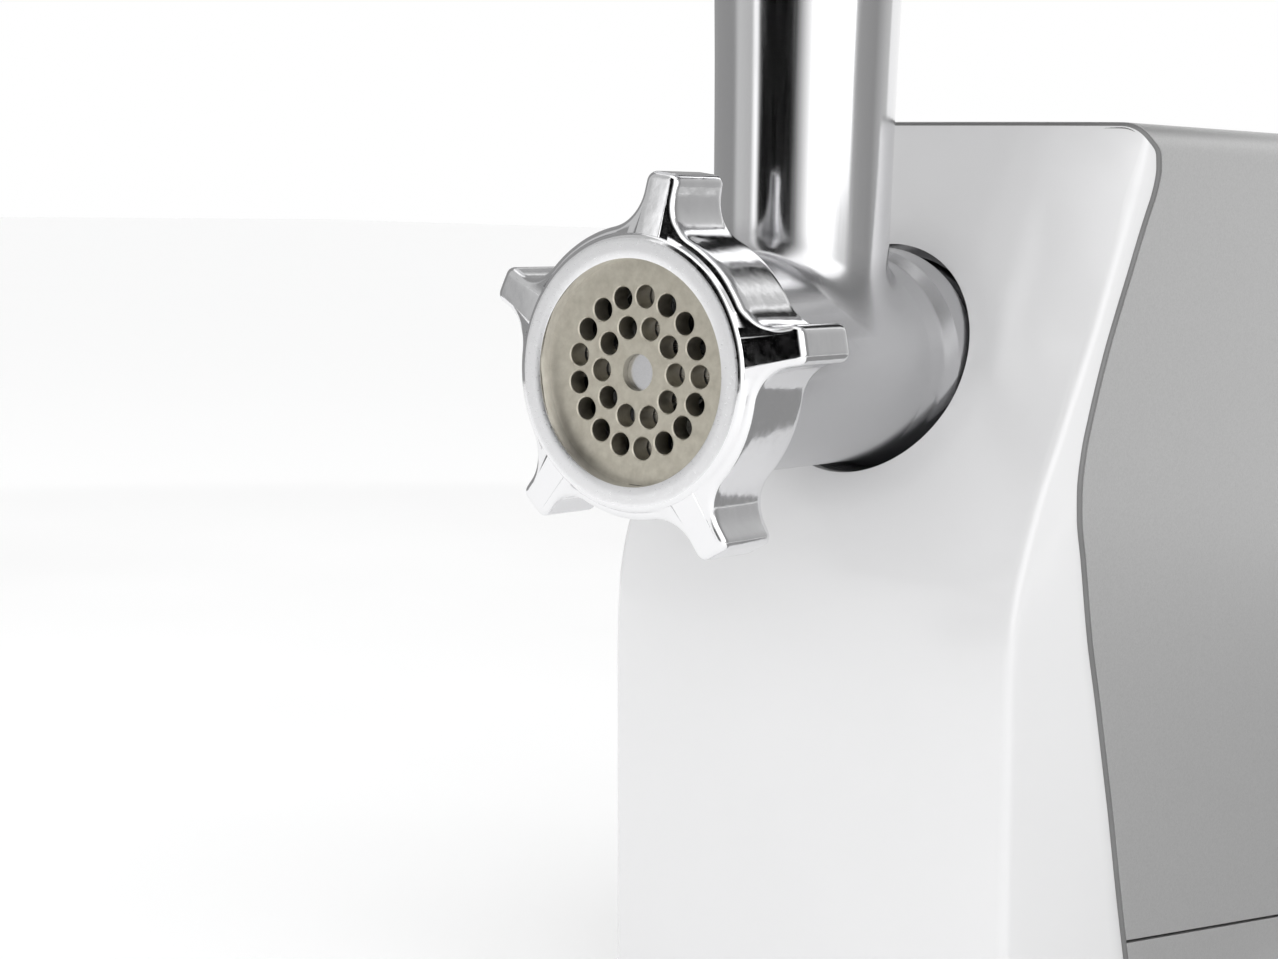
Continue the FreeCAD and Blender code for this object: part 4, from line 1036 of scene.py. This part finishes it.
def make_side_controls():
    """Release button, and the rocker in its bezel, on the housing's left side."""
    low, high = node_box("release_button")
    button = stack("button", box_outline((low[1], low[2]), (high[1], high[2]), 1.9),
                   [(0.0, high[0]), (0.0, low[0] + 1.4), (0.25, low[0] + 0.6), (0.9, low[0] + 0.12),
                    (1.5, low[0] + 0.02), (2.4, low[0] + 0.5), (3.2, low[0] + 0.7)], sideways)
    dress(button, "release_button")
    low, high = node_box("switch_bezel")
    bezel = stack("bezel", box_outline((low[1], low[2]), (high[1], high[2]), 3.0),
                  [(0.2, low[0] + 0.95), (0.0, low[0] + 0.7), (0.3, low[0] + 0.2), (0.9, low[0] + 0.02),
                   (2.4, low[0] + 0.02), (3.1, low[0] + 0.5), (3.35, low[0] + 1.2), (3.35, high[0]),
                   (1.8, high[0]), (1.8, low[0] + 0.95)], sideways, ends=False)
    dress(bezel, "switch_bezel")
    low, high = node_box("rocker")
    y0, y1, middle = low[1] + 0.1, high[1] - 0.1, (low[2] + high[2]) / 2
    reach = (high[2] - low[2]) / 2
    face, back = low[0], low[0] + 6.2
    profile = soft_path([(face, middle - reach, 0.9), (face + 1.35, middle, 9.0), (face, middle + reach, 0.9),
                         (back, middle + reach, 0.4), (face + 6.9, middle, 0),
                         (back, middle - reach, 0.4)], True)
    inner = profile.mean(0)
    rows = []
    away = inner - profile
    length = np.linalg.norm(away, axis=1)[:, None]
    for inset, y in soft_edge(y0, y1, 0.7):
        loop = profile + away / length * inset
        rows.append(np.column_stack([loop[:, 0], np.full(len(loop), y), loop[:, 1]]))
    dress(grid("rocker_made", np.array(close_ends(rows)), wrap_columns=True), "rocker")


def make_hole_plate():
    """Ground plate with crisp, slightly broken hole edges."""
    low, high = node_box("hole_plate")
    section = [(4.05, low[1]), (PLATE_R, low[1], 0.5), (PLATE_R, high[1], 0.5), (4.05, high[1])]
    disc = lathe("plate", section, steps=256)
    section = [(0, low[1] - 1), (HOLE_R + 0.25, low[1] - 1), (HOLE_R + 0.25, low[1]), (HOLE_R, low[1] + 0.25),
               (HOLE_R, high[1] + 1), (0, high[1] + 1)]
    tools = []
    for pitch, count in PLATE_RINGS:
        for k in range(count):
            a = 2 * pi * k / count
            tools.append(lathe("hole", section, "Y", (pitch * cos(a), pitch * sin(a)), 40))
    key = block("key", (-2.2, low[1] - 1, -28), (2.2, high[1] + 1, -24.4))
    carve(disc, [unite("holes", tools), key])
    dress(disc, "hole_plate")


def make_spring():
    """Coil spring of the release latch."""
    low, high = node_box("latch_spring")
    turns, wire, steps, sides = 6, 0.35, 216, 10
    middle_y, middle_z = (low[1] + high[1]) / 2, (low[2] + high[2]) / 2
    coil = (high[1] - low[1]) / 2 - wire
    rows = []
    for k in range(steps + 1):
        a = 2 * pi * turns * k / steps
        x = low[0] + wire + (high[0] - low[0] - 2 * wire) * k / steps
        centre = np.array([x, middle_y + coil * cos(a), middle_z + coil * sin(a)])
        outward = np.array([0, cos(a), sin(a)])
        rows.append([centre + wire * (cos(s) * outward + sin(s) * np.array([1.0, 0, 0]))
                     for s in around(sides)])
    dress(grid("spring", np.array(close_ends(rows)), wrap_columns=True), "latch_spring")


for make in (make_head_casting, make_ring_nut, make_hole_plate, make_front_cover, make_wrap, make_trim,
             make_base_pan, make_rear_cover, make_socket, make_tray, make_pusher, make_feet,
             make_side_controls, make_spring):
    make()


# ---- stage, light and camera
def toward(azimuth, elevation):
    """A direction from the head: turned from straight in front to the right, then raised."""
    return (sin(azimuth) * cos(elevation), -cos(azimuth) * cos(elevation),
            sin(elevation))


def reflections_only(piece):
    """Leaves a studio surface to be seen in reflections and nowhere else."""
    for ray in ("camera", "shadow", "diffuse", "transmission", "volume_scatter"):
        setattr(piece, "visible_" + ray, False)


def shine_strip(name, rise, stops, distance=1.3):
    """A curved studio wall round the head, seen only in reflections, whose brightness changes along it.

    stops are (turn, level); turn 0 is straight in front of the head and runs to the right, in degrees."""
    turns = np.arange(stops[0][0], stops[-1][0] + 1e-6, 1.0)
    levels = np.interp(turns, [s[0] for s in stops], [s[1] for s in stops])
    points = []
    for e in np.radians(np.linspace(rise[0], rise[1], 7)):
        for a in np.radians(turns):
            points.append(distance * 1000 * np.array(toward(a, e)))
    mesh = bpy.data.meshes.new(name)
    mesh.from_pydata([tuple(p) for p in mm(points)], [], grid_faces(7, len(turns)))
    shades = mesh.color_attributes.new("level", "FLOAT_COLOR", "POINT")
    for k, level in enumerate(np.tile(levels, 7)):
        shades.data[k].color = (level, level, level, 1.0)
    coat = bpy.data.materials.new(name)
    coat.use_nodes = True
    tree = coat.node_tree
    tree.nodes.clear()
    out, light = tree.nodes.new("ShaderNodeOutputMaterial"), tree.nodes.new("ShaderNodeEmission")
    read = tree.nodes.new("ShaderNodeAttribute")
    read.attribute_name = "level"
    tree.links.new(read.outputs["Color"], light.inputs["Color"])
    tree.links.new(light.outputs[0], out.inputs[0])
    mesh.materials.append(coat)
    reflections_only(link(name, mesh))


def level_sheet(name, low, high, level):
    """A flat mesh between two corners at a level."""
    mesh = bpy.data.meshes.new(name)
    corners = ((low[0], low[1]), (high[0], low[1]), (high[0], high[1]), (low[0], high[1]))
    mesh.from_pydata([(x, y, level) for x, y in corners], [], [(0, 1, 2, 3)])
    return mesh


def floor_shade(name, low, high, level):
    """A grey sheet on the floor, seen only in reflections."""
    mesh = level_sheet(name, low, high, 0.0005)
    look = Look(name, (0.0, 0.0, 0.0), 1.0, Emission_Color=(1.0, 1.0, 1.0, 1.0), Emission_Strength=level)
    mesh.materials.append(look.material)
    reflections_only(link(name, mesh))


def area_light(name, azimuth, elevation, distance, width, height, power):
    """A soft light that faces the head; its place is in degrees and metres from there."""
    aim = Vector(AXIS)
    lamp = bpy.data.lights.new(name, "AREA")
    lamp.shape, lamp.size, lamp.size_y, lamp.energy = "RECTANGLE", width, height, power
    made = link(name, lamp)
    made.location = aim + distance * Vector(toward(radians(azimuth), radians(elevation)))
    made.rotation_euler = (made.location - aim).to_track_quat("Z", "Y").to_euler()


def make_stage():
    """Pale floor, white surroundings, four soft lights and the surfaces that the metal reflects."""
    size = 12.0
    floor = link("floor", level_sheet("floor", (-size, -size), (size, size), 0))
    look = Look("floor", (0.95, 0.95, 0.95), 0.6, Specular_IOR_Level=0.2)
    look.rough(look.noise(3.0), 0.55, 0.7)
    floor.data.materials.append(look.material)
    world = bpy.data.worlds.new("studio")
    world.use_nodes = True
    background = world.node_tree.nodes["Background"].inputs
    background["Color"].default_value = (1.0, 1.0, 1.0, 1.0)
    background["Strength"].default_value = 1.0
    bpy.context.scene.world = world
    bpy.context.scene.view_settings.view_transform = "Standard"
    area_light("overhead", 20, 75, 1.6, 1.6, 1.2, 2.0)
    area_light("front_fill", 36, 25, 1.7, 0.9, 0.9, 2.9)
    area_light("left_fill", -42, 24, 1.7, 1.3, 0.9, 3.6)
    area_light("side_near", 80, 22, 0.8, 0.4, 0.6, 0.9)
    shine_strip("wall", (-7, 58), [
        (-150, 0.35), (-66, 0.30), (-58, 0.60), (-36, 0.50), (-31, 1.3), (-28, 1.2), (-24, 0.0), (14, 0.0),
        (21, 0.08), (38, 1.1), (44, 1.7), (68, 1.7), (76, 0.85), (90, 0.60), (102, 0.34), (128, 0.30),
        (146, 0.5), (160, 0.6)])
    shine_strip("back", (24, 56), [(166, 0.7), (176, 0.04), (206, 0.02), (218, 1.0)], 1.25)
    floor_shade("side_floor", (0.07, 0.0), (0.75, 0.9), 0.28)


def make_camera():
    """The camera stands in front and to the right, a little below the housing's top, tipped slightly."""
    turn, down, tip = radians(37.41), radians(6.27), radians(1.16)
    right = Vector((cos(turn), sin(turn), 0))
    ahead = Vector((-sin(turn) * cos(down), cos(turn) * cos(down), -sin(down)))
    up = right.cross(ahead)
    side = right * cos(tip) + up * sin(tip)
    top = up * cos(tip) - right * sin(tip)
    lens = bpy.data.cameras.new("camera")
    lens.sensor_width, lens.lens, lens.clip_end = 36.0, 73.3, 60.0
    camera = link("camera", lens)
    turn_matrix = Matrix((side, top, -ahead)).transposed().to_4x4()
    camera.matrix_world = Matrix.Translation(Vector(mm(CAMERA_PLACE))) @ turn_matrix
    bpy.context.scene.camera = camera


make_stage()
make_camera()
